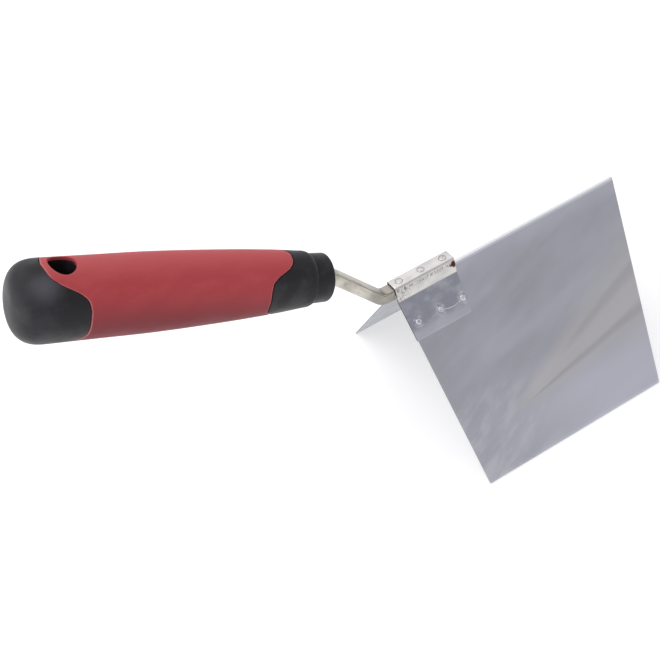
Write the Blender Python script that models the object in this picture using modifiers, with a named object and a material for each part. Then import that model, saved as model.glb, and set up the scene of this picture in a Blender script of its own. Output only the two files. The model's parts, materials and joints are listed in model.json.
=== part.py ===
"""Corner trowel: a folded stainless blade, a welded saddle bracket, a cranked tang and a two-part grip.

Metres, +Z up. The outer edges of the folded blade stand on Z = 0. The fold runs along +X to the blade's
front, and the handle rises behind the blade towards -X. The origin is below the middle of the whole tool.

Two empties carry the pieces. fold_frame stands where the outer faces of both wings would meet in a sharp
line, at the blade's rear edge. grip_frame sits in it at the nose of the handle, with +Z running to the
butt and +X to the crown of the grip, where the hang hole comes out.
"""

import math

import bmesh
import bpy
from mathutils import Vector

# ---- Clearances, and how finely round shapes are stepped
GAP = 0.0003                      # air between two pieces that sit on each other
SEAM = 0.0005                     # groove along the edge of the soft grip
MERGE = 0.00001                   # points closer than this are one point
SMOOTH_BELOW = math.radians(35)   # edges flatter than this are shaded smooth
CUT_THROUGH = 4                   # a cutter is this many times as long as what it goes through
BEND_STEPS = 4
HANDLE_STEPS = 48
HOLE_STEPS = 24

# ---- Blade: one sheet, folded once
BLADE_LENGTH = 0.127
WING_WIDTH = 0.1016               # from the sharp fold line down each wing
FOLD_ANGLE = math.radians(80)
BLADE_SHEET = 0.0008
FOLD_RADIUS = 0.0019              # outside
FRONT_RAKE = math.radians(14.2)   # the front edge falls back from the fold

# ---- Saddle bracket: a hat section over the rear of the fold
SADDLE_REAR = -0.0008
SADDLE_FRONT = 0.0319
SADDLE_SHEET = 0.0008
SADDLE_TOP = 0.00465              # above the sharp fold line
WEB_HALF_WIDTH = 0.00375
FOOT_HALF_WIDTH = 0.0043
WEB_BEND = 0.0012
FOOT_BEND = 0.0006
FLANGE_REACH = 0.0256             # down the wing from the sharp fold line
FLANGE_CLIP = 0.0025              # how far the flange's front corner is pulled back

# ---- Tang: a bar with two bends, from the grip to the saddle
TANG_THICKNESS = 0.0057
TANG_WIDTH = 0.0063
TANG_WIDTH_IN_SADDLE = 0.0053
TANG_EDGE = 0.0004                # its long edges are rounded by this much
TANG_EDGE_ABOVE = math.radians(40)
TANG_BURIED = 0.060               # length inside the grip
TANG_TOE = 0.0310                 # where it ends under the saddle's web
KNEE_OUT = 0.0048                 # from the nose to the first bend's corner
KNEE_RADIUS = 0.0055
HEEL_RADIUS = 0.0055
LEG_FALL = math.radians(52)
STEP_REAR = -0.0014               # the underside steps up here, over the blade's rear edge
STEP_FRONT = -0.0007

# ---- Handle: a hard core, bare at nose and butt, with a soft grip moulded around its middle
NOSE_X = -0.0312
NOSE_Z = 0.0283
HANDLE_RISE = math.radians(26.5)
NOSE_LENGTH = 0.0086
NOSE_RADIUS = 0.0108
NOSE_EDGE = 0.0007
NOSE_SWELL = 0.00025              # the nose widens by this much towards the shoulder
SHOULDER_LENGTH = 0.0035
GRIP_CURVE = ((0.0121, 0.0124), (0.0260, 0.0137), (0.0494, 0.0151), (0.0800, 0.0162),
              (0.1040, 0.0163), (0.1231, 0.0164))    # distance from the nose, radius
GRIP_ROWS = 4                     # rows of faces between two points of the grip curve
DOME_LENGTH = 0.0133
DOME_POWER = 2.8                  # 2 is an ellipse, more is squarer
DOME_STEPS = 7

# ---- Soft grip
GRIP_SKIN = 0.0014
GRIP_FRONT = 0.0325               # the grip's ends at the sides of the handle
GRIP_REAR = 0.1090
FRONT_TONGUE = 0.0134             # and how much further each reaches at the crown
REAR_TONGUE = 0.0158
UNDER_TONGUE = 0.4                # share of that reach on the underside
TONGUE_EDGE = ((0, 1.0), (25, 0.89), (37, 0.70), (45, 0.47), (52, 0.26), (62, 0.07), (76, 0.0))
GRIP_BANDS = 14

# ---- Hang hole, oval, across the butt
HOLE_AT = 0.1166
HOLE_HALF_LENGTH = 0.0053
HOLE_HALF_WIDTH = 0.0066
HOLE_REACH = 0.060

# ---- Pin of the core that locks the tang
LOCK_FROM_END = 0.012
LOCK_RADIUS = 0.0016

# ---- Plug welds
WELD_RADIUS = 0.0015
WELD_DOME = 0.0003
WEB_WELDS = (0.0036, 0.0156, 0.0276)       # distances from the rear edge
FLANGE_WELDS = (0.0040, 0.0164, 0.0288)
FLANGE_WELD_DOWN = 0.0176                  # down the wing
WELD_INTO_TANG = 0.0008

# ---- Worked out from the above
HALF = FOLD_ANGLE / 2
FOLD_HEIGHT = WING_WIDTH * math.cos(HALF) + BLADE_SHEET * math.sin(HALF)
TANG_TOP = SADDLE_TOP - SADDLE_SHEET - GAP
TANG_SOLE = FOLD_RADIUS - FOLD_RADIUS / math.sin(HALF) + GAP    # clears the top of the fold
GRIP_LENGTH = GRIP_CURVE[-1][0] + DOME_LENGTH
BACKWARD = Vector((-math.cos(HANDLE_RISE), 0, math.sin(HANDLE_RISE)))
UPWARD = Vector((math.sin(HANDLE_RISE), 0, math.cos(HANDLE_RISE)))
NOSE = Vector((NOSE_X, 0, NOSE_Z))


# ---------------------------------------------------------------- geometry helpers

def wing_point(down, lift):
    """Y and Z of a point on the +Y wing: down along its outer face, and lifted off it."""
    return (down * math.sin(HALF) + lift * math.cos(HALF), lift * math.sin(HALF) - down * math.cos(HALF))


def fillet(points, radii):
    """A polyline in two coordinates, with an arc of the given radius at each inner corner."""
    corners = [Vector(point) for point in points]
    line = [corners[0]]
    for before, corner, after, radius in zip(corners, corners[1:], corners[2:], radii):
        incoming = (corner - before).normalized()
        outgoing = (after - corner).normalized()
        turn = incoming.angle(outgoing)
        start = corner - incoming * radius * math.tan(turn / 2)
        centre = corner + (outgoing - incoming).normalized() * radius / math.cos(turn / 2)
        sense = math.copysign(1, incoming.x * outgoing.y - incoming.y * outgoing.x)
        arm = start - centre
        for step in range(BEND_STEPS + 1):
            angle = sense * turn * step / BEND_STEPS
            line.append(centre + Vector((arm.x * math.cos(angle) - arm.y * math.sin(angle),
                                         arm.x * math.sin(angle) + arm.y * math.cos(angle))))
    line.append(corners[-1])
    return line


def smooth_between(stations, x):
    """Reads a smooth curve through (x, y) stations, level beyond its ends."""
    if x <= stations[0][0]:
        return stations[0][1]
    if x >= stations[-1][0]:
        return stations[-1][1]
    after = next(i for i, station in enumerate(stations) if station[0] >= x)
    (x0, y0), (x1, y1) = stations[after - 1], stations[after]

    def slope(i):
        (xa, ya), (xb, yb) = stations[max(i - 1, 0)], stations[min(i + 1, len(stations) - 1)]
        return (yb - ya) / (xb - xa)

    span = x1 - x0
    t = (x - x0) / span
    return ((2 * t ** 3 - 3 * t ** 2 + 1) * y0 + (t ** 3 - 2 * t ** 2 + t) * span * slope(after - 1)
            + (3 * t ** 2 - 2 * t ** 3) * y1 + (t ** 3 - t ** 2) * span * slope(after))


def handle_profile():
    """(distance from the nose, radius) along the outside of the handle, from the nose's rim to the butt."""
    shoulder = NOSE_RADIUS + NOSE_SWELL
    line = [(NOSE_EDGE * (1 - math.cos(a)), NOSE_RADIUS - NOSE_EDGE * (1 - math.sin(a)))
            for a in (math.pi / 2 * step / BEND_STEPS for step in range(BEND_STEPS + 1))]
    rise = GRIP_CURVE[0][1] - shoulder
    line += [(NOSE_LENGTH + SHOULDER_LENGTH * t, shoulder + rise * (1 - math.cos(math.pi * t)) / 2)
             for t in (step / BEND_STEPS for step in range(BEND_STEPS))]
    for (start, _), (end, _) in zip(GRIP_CURVE, GRIP_CURVE[1:]):
        for step in range(GRIP_ROWS):
            at = start + (end - start) * step / GRIP_ROWS
            line.append((at, smooth_between(GRIP_CURVE, at)))
    rim, widest = GRIP_CURVE[-1]
    for step in range(DOME_STEPS + 1):
        angle = math.pi / 2 * step / DOME_STEPS
        line.append((rim + DOME_LENGTH * math.sin(angle) ** (2 / DOME_POWER),
                     widest * max(math.cos(angle), 0) ** (2 / DOME_POWER)))
    return line


def new_mesh_object(name, bm, collection, parent):
    """Puts a finished bmesh into an object under the given empty."""
    mesh = bpy.data.meshes.new(name)
    bm.to_mesh(mesh)
    bm.free()
    piece = bpy.data.objects.new(name, mesh)
    collection.objects.link(piece)
    piece.parent = parent
    return piece


def shade(piece, material):
    """Gives a piece its material, and smooth shading that keeps its corners."""
    piece.data.materials.append(material)
    piece.data.shade_smooth()
    piece.data.set_sharp_from_angle(angle=SMOOTH_BELOW)


def new_material(name, colour, roughness, metallic):
    """A Principled material with one colour."""
    material = bpy.data.materials.new(name)
    material.use_nodes = True
    shader = material.node_tree.nodes["Principled BSDF"]
    shader.inputs["Base Color"].default_value = (*colour, 1.0)
    shader.inputs["Roughness"].default_value = roughness
    shader.inputs["Metallic"].default_value = metallic
    return material


def swept_sheet(name, section, rear, front, collection, parent):
    """Sweeps a half section (Y, Z) that starts at Y = 0 along X, and mirrors it. front(y) ends each line."""
    bm = bmesh.new()
    points = [bm.verts.new((rear, y, z)) for y, z in section]
    edges = [bm.edges.new(pair) for pair in zip(points, points[1:])]
    swept = bmesh.ops.extrude_edge_only(bm, edges=edges)["geom"]
    for vert in swept:
        if isinstance(vert, bmesh.types.BMVert):
            vert.co.x = front(vert.co.y)
    bm.normal_update()
    if sum(face.normal.z for face in bm.faces) < 0:
        bmesh.ops.reverse_faces(bm, faces=bm.faces[:])
    piece = new_mesh_object(name, bm, collection, parent)
    mirror = piece.modifiers.new("both_wings", "MIRROR")
    mirror.use_axis = (False, True, False)
    mirror.merge_threshold = MERGE
    return piece


def thicken(piece, thickness):
    """Gives a surface its thickness, inwards from the face."""
    solid = piece.modifiers.new("sheet_thickness", "SOLIDIFY")
    solid.thickness = thickness
    solid.offset = -1
    solid.use_even_offset = True
    solid.use_quality_normals = True


def cut(piece, cutter):
    """Takes the cutter's shape out of the piece."""
    boolean = piece.modifiers.new("cut_" + cutter.name, "BOOLEAN")
    boolean.operation = "DIFFERENCE"
    boolean.object = cutter


def as_cutter(piece):
    """Marks a piece as a tool for cuts, not a part."""
    piece.hide_render = True
    piece.display_type = "WIRE"
    return piece


def rod_cutter(name, radius, length, centre, direction, collection, parent):
    """A round cutter about the given centre, along the given direction."""
    bm = bmesh.new()
    bmesh.ops.create_cone(bm, cap_ends=True, segments=HOLE_STEPS, depth=length,
                          radius1=radius, radius2=radius)
    piece = as_cutter(new_mesh_object(name, bm, collection, parent))
    piece.location = centre
    piece.rotation_euler = Vector(direction).to_track_quat("Z", "Y").to_euler()
    return piece


# ---------------------------------------------------------------- blade and saddle

def blade_front(y):
    """X of the blade's raked front edge at a distance Y from the middle."""
    return BLADE_LENGTH - y / math.sin(HALF) * math.tan(FRONT_RAKE)


def saddle_front(y):
    """X of the saddle's front edge, which runs back a little along the flange."""
    outer = wing_point(FLANGE_REACH, GAP + SADDLE_SHEET)[0]
    along = max(y - FOOT_HALF_WIDTH, 0) / (outer - FOOT_HALF_WIDTH)
    return SADDLE_FRONT - FLANGE_CLIP * along


def build_blade(collection, parent):
    """Two wings and the round fold between them, one sheet thick."""
    drop = FOLD_RADIUS / math.sin(HALF)
    turn = math.pi / 2 - HALF
    arc = [(FOLD_RADIUS * math.sin(a), FOLD_RADIUS * math.cos(a) - drop)
           for a in (turn * step / BEND_STEPS for step in range(BEND_STEPS + 1))]
    section = arc + [wing_point(WING_WIDTH, 0)]
    blade = swept_sheet("blade", section, 0, blade_front, collection, parent)
    thicken(blade, BLADE_SHEET)
    return blade


def build_saddle(collection, parent):
    """Web over the tang, two side walls, and two flanges that lie on the wings."""
    lift = GAP + SADDLE_SHEET
    foot_down = (FOOT_HALF_WIDTH - lift * math.cos(HALF)) / math.sin(HALF)
    section = fillet([(0, SADDLE_TOP), (WEB_HALF_WIDTH, SADDLE_TOP), wing_point(foot_down, lift),
                      wing_point(FLANGE_REACH, lift)], (WEB_BEND, FOOT_BEND))
    saddle = swept_sheet("saddle_bracket", section, SADDLE_REAR, saddle_front, collection, parent)
    thicken(saddle, SADDLE_SHEET)
    return saddle


# ---------------------------------------------------------------- tang

def tang_outline(extra):
    """Upper and lower line of the tang in X and Z, from its buried end to its toe, grown by extra."""
    half = TANG_THICKNESS / 2 + extra
    buried_end = NOSE + BACKWARD * (TANG_BURIED + extra)
    knee = NOSE - BACKWARD * KNEE_OUT
    foot_z = TANG_TOP - TANG_THICKNESS / 2
    heel_x = knee.x + (knee.z - foot_z) / math.tan(LEG_FALL)
    middle = [Vector(point) for point in ((buried_end.x, buried_end.z), (knee.x, knee.z),
                                          (heel_x, foot_z), (STEP_REAR, foot_z))]
    normals = []
    for start, end in zip(middle, middle[1:]):
        along = (end - start).normalized()
        normals.append(Vector((-along.y, along.x)))
    lifts = ([normals[0]] + [(a + b) / (1 + a.dot(b)) for a, b in zip(normals, normals[1:])] + [normals[-1]])
    lines = []
    for side in (1, -1):
        corners = [point + lift * side * half for point, lift in zip(middle, lifts)]
        lines.append(fillet(corners, (KNEE_RADIUS + side * half, HEEL_RADIUS - side * half)))
    upper, lower = lines
    for x in (STEP_FRONT, TANG_TOE):
        upper.append(Vector((x, TANG_TOP + extra)))
        lower.append(Vector((x, TANG_SOLE - extra)))
    return upper, lower


def tang_bar(name, extra, collection, parent):
    """The tang lofted through cross sections, each one an upright rectangle between its two lines."""
    upper, lower = tang_outline(extra)
    half = TANG_WIDTH / 2 + extra
    half_in_saddle = TANG_WIDTH_IN_SADDLE / 2 + extra
    bm = bmesh.new()
    rings = []
    for top, bottom in zip(upper, lower):
        y = half if top.x < STEP_REAR else half_in_saddle
        rings.append([bm.verts.new(place) for place in ((top.x, -y, top.y), (top.x, y, top.y),
                                                        (bottom.x, y, bottom.y), (bottom.x, -y, bottom.y))])
    for ring, following in zip(rings, rings[1:]):
        for corner in range(4):
            beside = (corner + 1) % 4
            bm.faces.new((ring[corner], ring[beside], following[beside], following[corner]))
    bm.faces.new(rings[0])
    bm.faces.new(rings[-1])
    bmesh.ops.recalc_face_normals(bm, faces=bm.faces[:])
    return new_mesh_object(name, bm, collection, parent)


def build_tang(collection, parent):
    """The bar, with its long edges broken."""
    tang = tang_bar("tang", 0, collection, parent)
    edges = tang.modifiers.new("broken_edges", "BEVEL")
    edges.width = TANG_EDGE
    edges.segments = 2
    edges.limit_method = "ANGLE"
    edges.angle_limit = TANG_EDGE_ABOVE
    return tang


# ---------------------------------------------------------------- handle

def tongue(angle):
    """How far the grip's edge reaches out, 1 at the crown and 0 at the sides."""
    from_crown = abs((math.degrees(angle) + 180) % 360 - 180)
    over = smooth_between(TONGUE_EDGE, from_crown)
    under = smooth_between(TONGUE_EDGE, 180 - from_crown)
    return over + UNDER_TONGUE * under


def build_core_blank(collection, parent):
    """The whole outer form of the handle, turned about its axis."""
    line = [(0, GRIP_LENGTH)] + [(radius, at) for at, radius in reversed(handle_profile())][1:] + [(0, 0)]
    bm = bmesh.new()
    points = [bm.verts.new((radius, 0, at)) for radius, at in line]
    for pair in zip(points, points[1:]):
        bm.edges.new(pair)
    core = new_mesh_object("handle_core", bm, collection, parent)
    turn = core.modifiers.new("turned_form", "SCREW")
    turn.steps = HANDLE_STEPS
    turn.render_steps = HANDLE_STEPS
    turn.use_merge_vertices = True
    turn.merge_threshold = MERGE
    core.rotation_euler.z = math.pi / HANDLE_STEPS    # half a step, so no edge lies on one of the pocket's
    return core


def radius_at(distance):
    """The handle's outer radius under the grip, at a distance from the nose."""
    return smooth_between(GRIP_CURVE, distance)


def grip_wrap(name, lift, margin, thickness, collection, parent):
    """A band around the handle between the grip's two shaped ends, thickened inwards."""
    bm = bmesh.new()
    rings = []
    for band in range(GRIP_BANDS + 1):
        ring = []
        for step in range(HANDLE_STEPS):
            angle = 2 * math.pi * step / HANDLE_STEPS
            front = GRIP_FRONT - FRONT_TONGUE * tongue(angle) - margin
            rear = GRIP_REAR + REAR_TONGUE * tongue(angle) + margin
            at = front + (rear - front) * band / GRIP_BANDS
            radius = radius_at(at) + lift
            ring.append(bm.verts.new((radius * math.cos(angle), radius * math.sin(angle), at)))
        rings.append(ring)
    for lower, upper in zip(rings, rings[1:]):
        for step in range(HANDLE_STEPS):
            after = (step + 1) % HANDLE_STEPS
            bm.faces.new((lower[step], lower[after], upper[after], upper[step]))
    wrap = new_mesh_object(name, bm, collection, parent)
    thicken(wrap, thickness)
    return wrap


def hang_hole_cutter(collection, parent):
    """An oval bar through the butt, from the crown to the underside."""
    bm = bmesh.new()
    bmesh.ops.create_cone(bm, cap_ends=True, segments=HANDLE_STEPS, radius1=1, radius2=1, depth=HOLE_REACH)
    for vert in bm.verts:
        vert.co = Vector((vert.co.z, vert.co.y * HOLE_HALF_WIDTH, HOLE_AT - vert.co.x * HOLE_HALF_LENGTH))
    bmesh.ops.recalc_face_normals(bm, faces=bm.faces[:])
    return as_cutter(new_mesh_object("hang_hole", bm, collection, parent))


# ---------------------------------------------------------------- welds

def weld_button(name, seat, direction, depth, collection, parent):
    """A plug of weld metal: a low dome at the seat, and a stem that goes down by the given depth."""
    line = [(WELD_RADIUS * math.sin(a), WELD_DOME * math.cos(a))
            for a in (math.pi / 2 * step / BEND_STEPS for step in range(BEND_STEPS + 1))]
    line += [(WELD_RADIUS, -depth), (0, -depth)]
    bm = bmesh.new()
    points = [bm.verts.new((radius, 0, at)) for radius, at in line]
    for pair in zip(points, points[1:]):
        bm.edges.new(pair)
    button = new_mesh_object(name, bm, collection, parent)
    button.location = seat
    button.rotation_euler = Vector(direction).to_track_quat("Z", "Y").to_euler()
    turn = button.modifiers.new("turned_form", "SCREW")
    turn.steps = HOLE_STEPS
    turn.render_steps = HOLE_STEPS
    turn.use_merge_vertices = True
    turn.merge_threshold = MERGE
    return button


def build_web_welds(saddle, tang, parts, cutters, parent, material):
    """Three plugs down through the saddle's web into the tang."""
    for number, at in enumerate(WEB_WELDS, 1):
        seat = (at, 0, SADDLE_TOP)
        depth = SADDLE_SHEET + GAP + WELD_INTO_TANG
        hole = rod_cutter(f"web_hole_{number}", WELD_RADIUS + GAP, 2 * (depth + GAP), seat, (0, 0, 1),
                          cutters, parent)
        cut(saddle, hole)
        cut(tang, hole)
        shade(weld_button(f"web_weld_{number}", seat, (0, 0, 1), depth, parts, parent), material)


def build_flange_welds(saddle, blade, parts, cutters, parent, material):
    """Three plugs through each flange and the wing below it, flush on the inside."""
    depth = SADDLE_SHEET + GAP + BLADE_SHEET
    y, z = wing_point(FLANGE_WELD_DOWN, SADDLE_SHEET + GAP)
    for side, sign in (("left", 1), ("right", -1)):
        direction = (0, sign * math.cos(HALF), math.sin(HALF))
        for number, at in enumerate(FLANGE_WELDS, 1):
            seat = (at, sign * y, z)
            hole = rod_cutter(f"{side}_flange_hole_{number}", WELD_RADIUS + GAP, CUT_THROUGH * depth,
                              seat, direction, cutters, parent)
            cut(saddle, hole)
            cut(blade, hole)
            weld = weld_button(f"{side}_flange_weld_{number}", seat, direction, depth, parts, parent)
            shade(weld, material)


# ---------------------------------------------------------------- assembly

def new_frame(name, collection, parent=None):
    """An empty that carries pieces."""
    frame = bpy.data.objects.new(name, None)
    collection.objects.link(frame)
    frame.parent = parent
    return frame


def fold_line_x():
    """X that puts the origin halfway between the blade's front and the rearmost point of the butt."""
    butt = max(at * math.cos(HANDLE_RISE) + radius * math.sin(HANDLE_RISE) for at, radius in handle_profile())
    return (butt - NOSE_X - BLADE_LENGTH) / 2


def build_handle(tang, parts, cutters, fold_frame, plastic, soft_rubber):
    """The core with its pocket, socket and hang hole, and the soft grip that fills the pocket."""
    grip_frame = new_frame("grip_frame", parts, fold_frame)
    grip_frame.location = NOSE
    grip_frame.rotation_euler.y = HANDLE_RISE - math.pi / 2

    core = build_core_blank(parts, grip_frame)
    sleeve = grip_wrap("grip_sleeve", 0, 0, GRIP_SKIN, parts, grip_frame)
    proud = GRIP_SKIN / 2
    pocket = as_cutter(grip_wrap("grip_pocket", proud, SEAM, proud + GRIP_SKIN + GAP, cutters, grip_frame))
    hole = hang_hole_cutter(cutters, grip_frame)

    lock_at = NOSE + BACKWARD * (TANG_BURIED - LOCK_FROM_END)
    lock_length = CUT_THROUGH * TANG_THICKNESS
    eye = rod_cutter("tang_eye", LOCK_RADIUS + GAP, lock_length, lock_at, UPWARD, cutters, fold_frame)
    pin = rod_cutter("lock_pin", LOCK_RADIUS, lock_length, lock_at, UPWARD, cutters, fold_frame)
    socket = as_cutter(tang_bar("tang_socket", GAP, cutters, fold_frame))
    cut(socket, pin)
    cut(tang, eye)

    for cutter in (pocket, hole, socket):
        cut(core, cutter)
    cut(sleeve, hole)
    shade(core, plastic)
    shade(sleeve, soft_rubber)


def main():
    """Clears the scene and builds the trowel."""
    for old in list(bpy.data.objects):
        bpy.data.objects.remove(old)
    parts = bpy.data.collections.new("corner_trowel")
    cutters = bpy.data.collections.new("cutters")
    for collection in (parts, cutters):
        bpy.context.scene.collection.children.link(collection)

    stainless = new_material("rolled_stainless", (0.40, 0.41, 0.44), 0.32, 1.0)
    plated_steel = new_material("plated_steel", (0.52, 0.50, 0.47), 0.38, 1.0)
    bar_steel = new_material("bar_steel", (0.42, 0.40, 0.36), 0.42, 1.0)
    weld_metal = new_material("weld_metal", (0.60, 0.60, 0.60), 0.25, 1.0)
    plastic = new_material("black_plastic", (0.030, 0.030, 0.034), 0.45, 0.0)
    soft_rubber = new_material("red_soft_grip", (0.40, 0.055, 0.065), 0.55, 0.0)

    fold_frame = new_frame("fold_frame", parts)
    fold_frame.location = (fold_line_x(), 0, FOLD_HEIGHT)
    blade = build_blade(parts, fold_frame)
    saddle = build_saddle(parts, fold_frame)
    tang = build_tang(parts, fold_frame)
    build_handle(tang, parts, cutters, fold_frame, plastic, soft_rubber)
    build_web_welds(saddle, tang, parts, cutters, fold_frame, weld_metal)
    build_flange_welds(saddle, blade, parts, cutters, fold_frame, weld_metal)
    for piece, material in ((blade, stainless), (saddle, plated_steel), (tang, bar_steel)):
        shade(piece, material)


main()
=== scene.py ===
"""Corner trowel: the looks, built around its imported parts.

The blade, saddle, tang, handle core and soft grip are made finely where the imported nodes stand. The tang's
bent bar and the rows of welds are made by Geometry Nodes. Lengths are in metres unless a name ends in _mm.
"""

from __future__ import annotations

import json
import logging
import math
from dataclasses import dataclass
from enum import Enum
from typing import Callable, Sequence

import bmesh
import bpy
import numpy as np
from mathutils import Matrix, Vector

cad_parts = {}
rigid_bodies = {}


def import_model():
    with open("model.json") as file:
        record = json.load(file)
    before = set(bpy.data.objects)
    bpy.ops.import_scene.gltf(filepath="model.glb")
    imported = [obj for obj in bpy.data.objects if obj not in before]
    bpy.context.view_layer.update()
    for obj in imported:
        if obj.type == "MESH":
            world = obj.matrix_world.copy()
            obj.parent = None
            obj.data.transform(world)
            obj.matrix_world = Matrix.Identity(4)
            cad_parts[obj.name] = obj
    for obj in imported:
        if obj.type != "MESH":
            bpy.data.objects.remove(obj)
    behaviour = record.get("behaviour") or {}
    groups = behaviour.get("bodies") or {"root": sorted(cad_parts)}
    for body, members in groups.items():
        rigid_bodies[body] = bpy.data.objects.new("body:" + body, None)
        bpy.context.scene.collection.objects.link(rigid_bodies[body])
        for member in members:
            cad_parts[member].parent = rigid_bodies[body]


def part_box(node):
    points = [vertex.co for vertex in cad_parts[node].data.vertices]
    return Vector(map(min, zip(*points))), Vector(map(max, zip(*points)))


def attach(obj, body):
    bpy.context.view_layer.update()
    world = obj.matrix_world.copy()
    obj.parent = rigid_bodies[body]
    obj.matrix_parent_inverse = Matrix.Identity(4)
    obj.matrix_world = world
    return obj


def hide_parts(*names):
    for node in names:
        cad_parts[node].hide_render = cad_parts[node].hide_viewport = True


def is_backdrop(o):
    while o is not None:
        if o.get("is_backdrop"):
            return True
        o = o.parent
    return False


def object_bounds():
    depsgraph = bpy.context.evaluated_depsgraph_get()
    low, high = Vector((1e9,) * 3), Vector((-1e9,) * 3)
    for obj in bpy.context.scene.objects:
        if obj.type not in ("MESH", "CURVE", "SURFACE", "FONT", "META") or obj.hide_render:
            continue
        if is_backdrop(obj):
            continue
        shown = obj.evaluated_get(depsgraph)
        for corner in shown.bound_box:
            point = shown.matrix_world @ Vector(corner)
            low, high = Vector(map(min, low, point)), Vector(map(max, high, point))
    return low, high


LOG = logging.getLogger("corner_trowel")
MM = 0.001
MERGE = 0.000001                  # points closer than this are one point
SURFACE = "surface_mm"            # attribute: where a point lies on its piece, in millimetres
BODY = "root"
Pair = tuple[float, float]
Triple = tuple[float, float, float]

HALF_ANGLE = math.radians(40)     # half of the angle between the wings
HANDLE_RISE = math.radians(26.5)  # how steeply the handle rises to the rear
NOSE_BEHIND = 0.0312              # from the rear end of the fold back to the handle's nose
NOSE_ABOVE = 0.0283               # and up to it
BEND_STEPS = 14                   # pieces of the arc at each bend of a bar
EDGE_STEPS = 5                    # and around each of its long edges
BROKEN_EDGE_STEPS = 2
BROKEN_ABOVE = math.radians(60)   # edges sharper than this are broken


class Side(Enum):
    """The two wings, and the sign of Y on each."""

    LEFT = 1
    RIGHT = -1


class Slot(Enum):
    """The record's material slots."""

    BLADE = "stainless_blade"
    SADDLE = "plated_saddle"
    TANG = "bar_steel"
    WELD = "weld_metal"
    CORE = "black_plastic"
    GRIP = "red_soft_grip"


# ---------------------------------------------------------------- colours and nodes

def linear(code: str) -> tuple[float, float, float, float]:
    """Turns an sRGB hex colour into linear light.

    Args:
        code: six hex digits after a hash sign.

    Returns:
        Red, green, blue and an alpha of 1.
    """
    channels = [int(code[i:i + 2], 16) / 255 for i in (1, 3, 5)]
    light = [c / 12.92 if c <= 0.04045 else ((c + 0.055) / 1.055) ** 2.4 for c in channels]
    return (light[0], light[1], light[2], 1.0)


def add_node(tree: bpy.types.NodeTree, kind: str, inputs: dict | None = None,
             **settings) -> bpy.types.Node:
    """Adds a node, sets its properties, and fills or links its inputs.

    Args:
        tree: the node tree it goes in.
        kind: the node's type.
        inputs: values, or sockets of other nodes to link, by input name or number.
        settings: the node's properties.

    Returns:
        The new node.
    """
    node = tree.nodes.new(kind)
    for name, value in settings.items():
        setattr(node, name, value)
    for key, value in (inputs or {}).items():
        if isinstance(value, bpy.types.NodeSocket):
            tree.links.new(value, node.inputs[key])
        else:
            node.inputs[key].default_value = value
    return node


@dataclass(frozen=True)
class Grain:
    """A noise that a finish is made of."""

    size_mm: Triple                   # how long one grain is along X, Y and Z
    detail: float                     # how many finer layers lie on the first
    turn: float = 0.0                 # the grain's angle about Z in degrees
    shift: float = 0.0                # moves the noise, so that two of the same size differ
    depth_mm: float = 0.0             # its real relief


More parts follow.
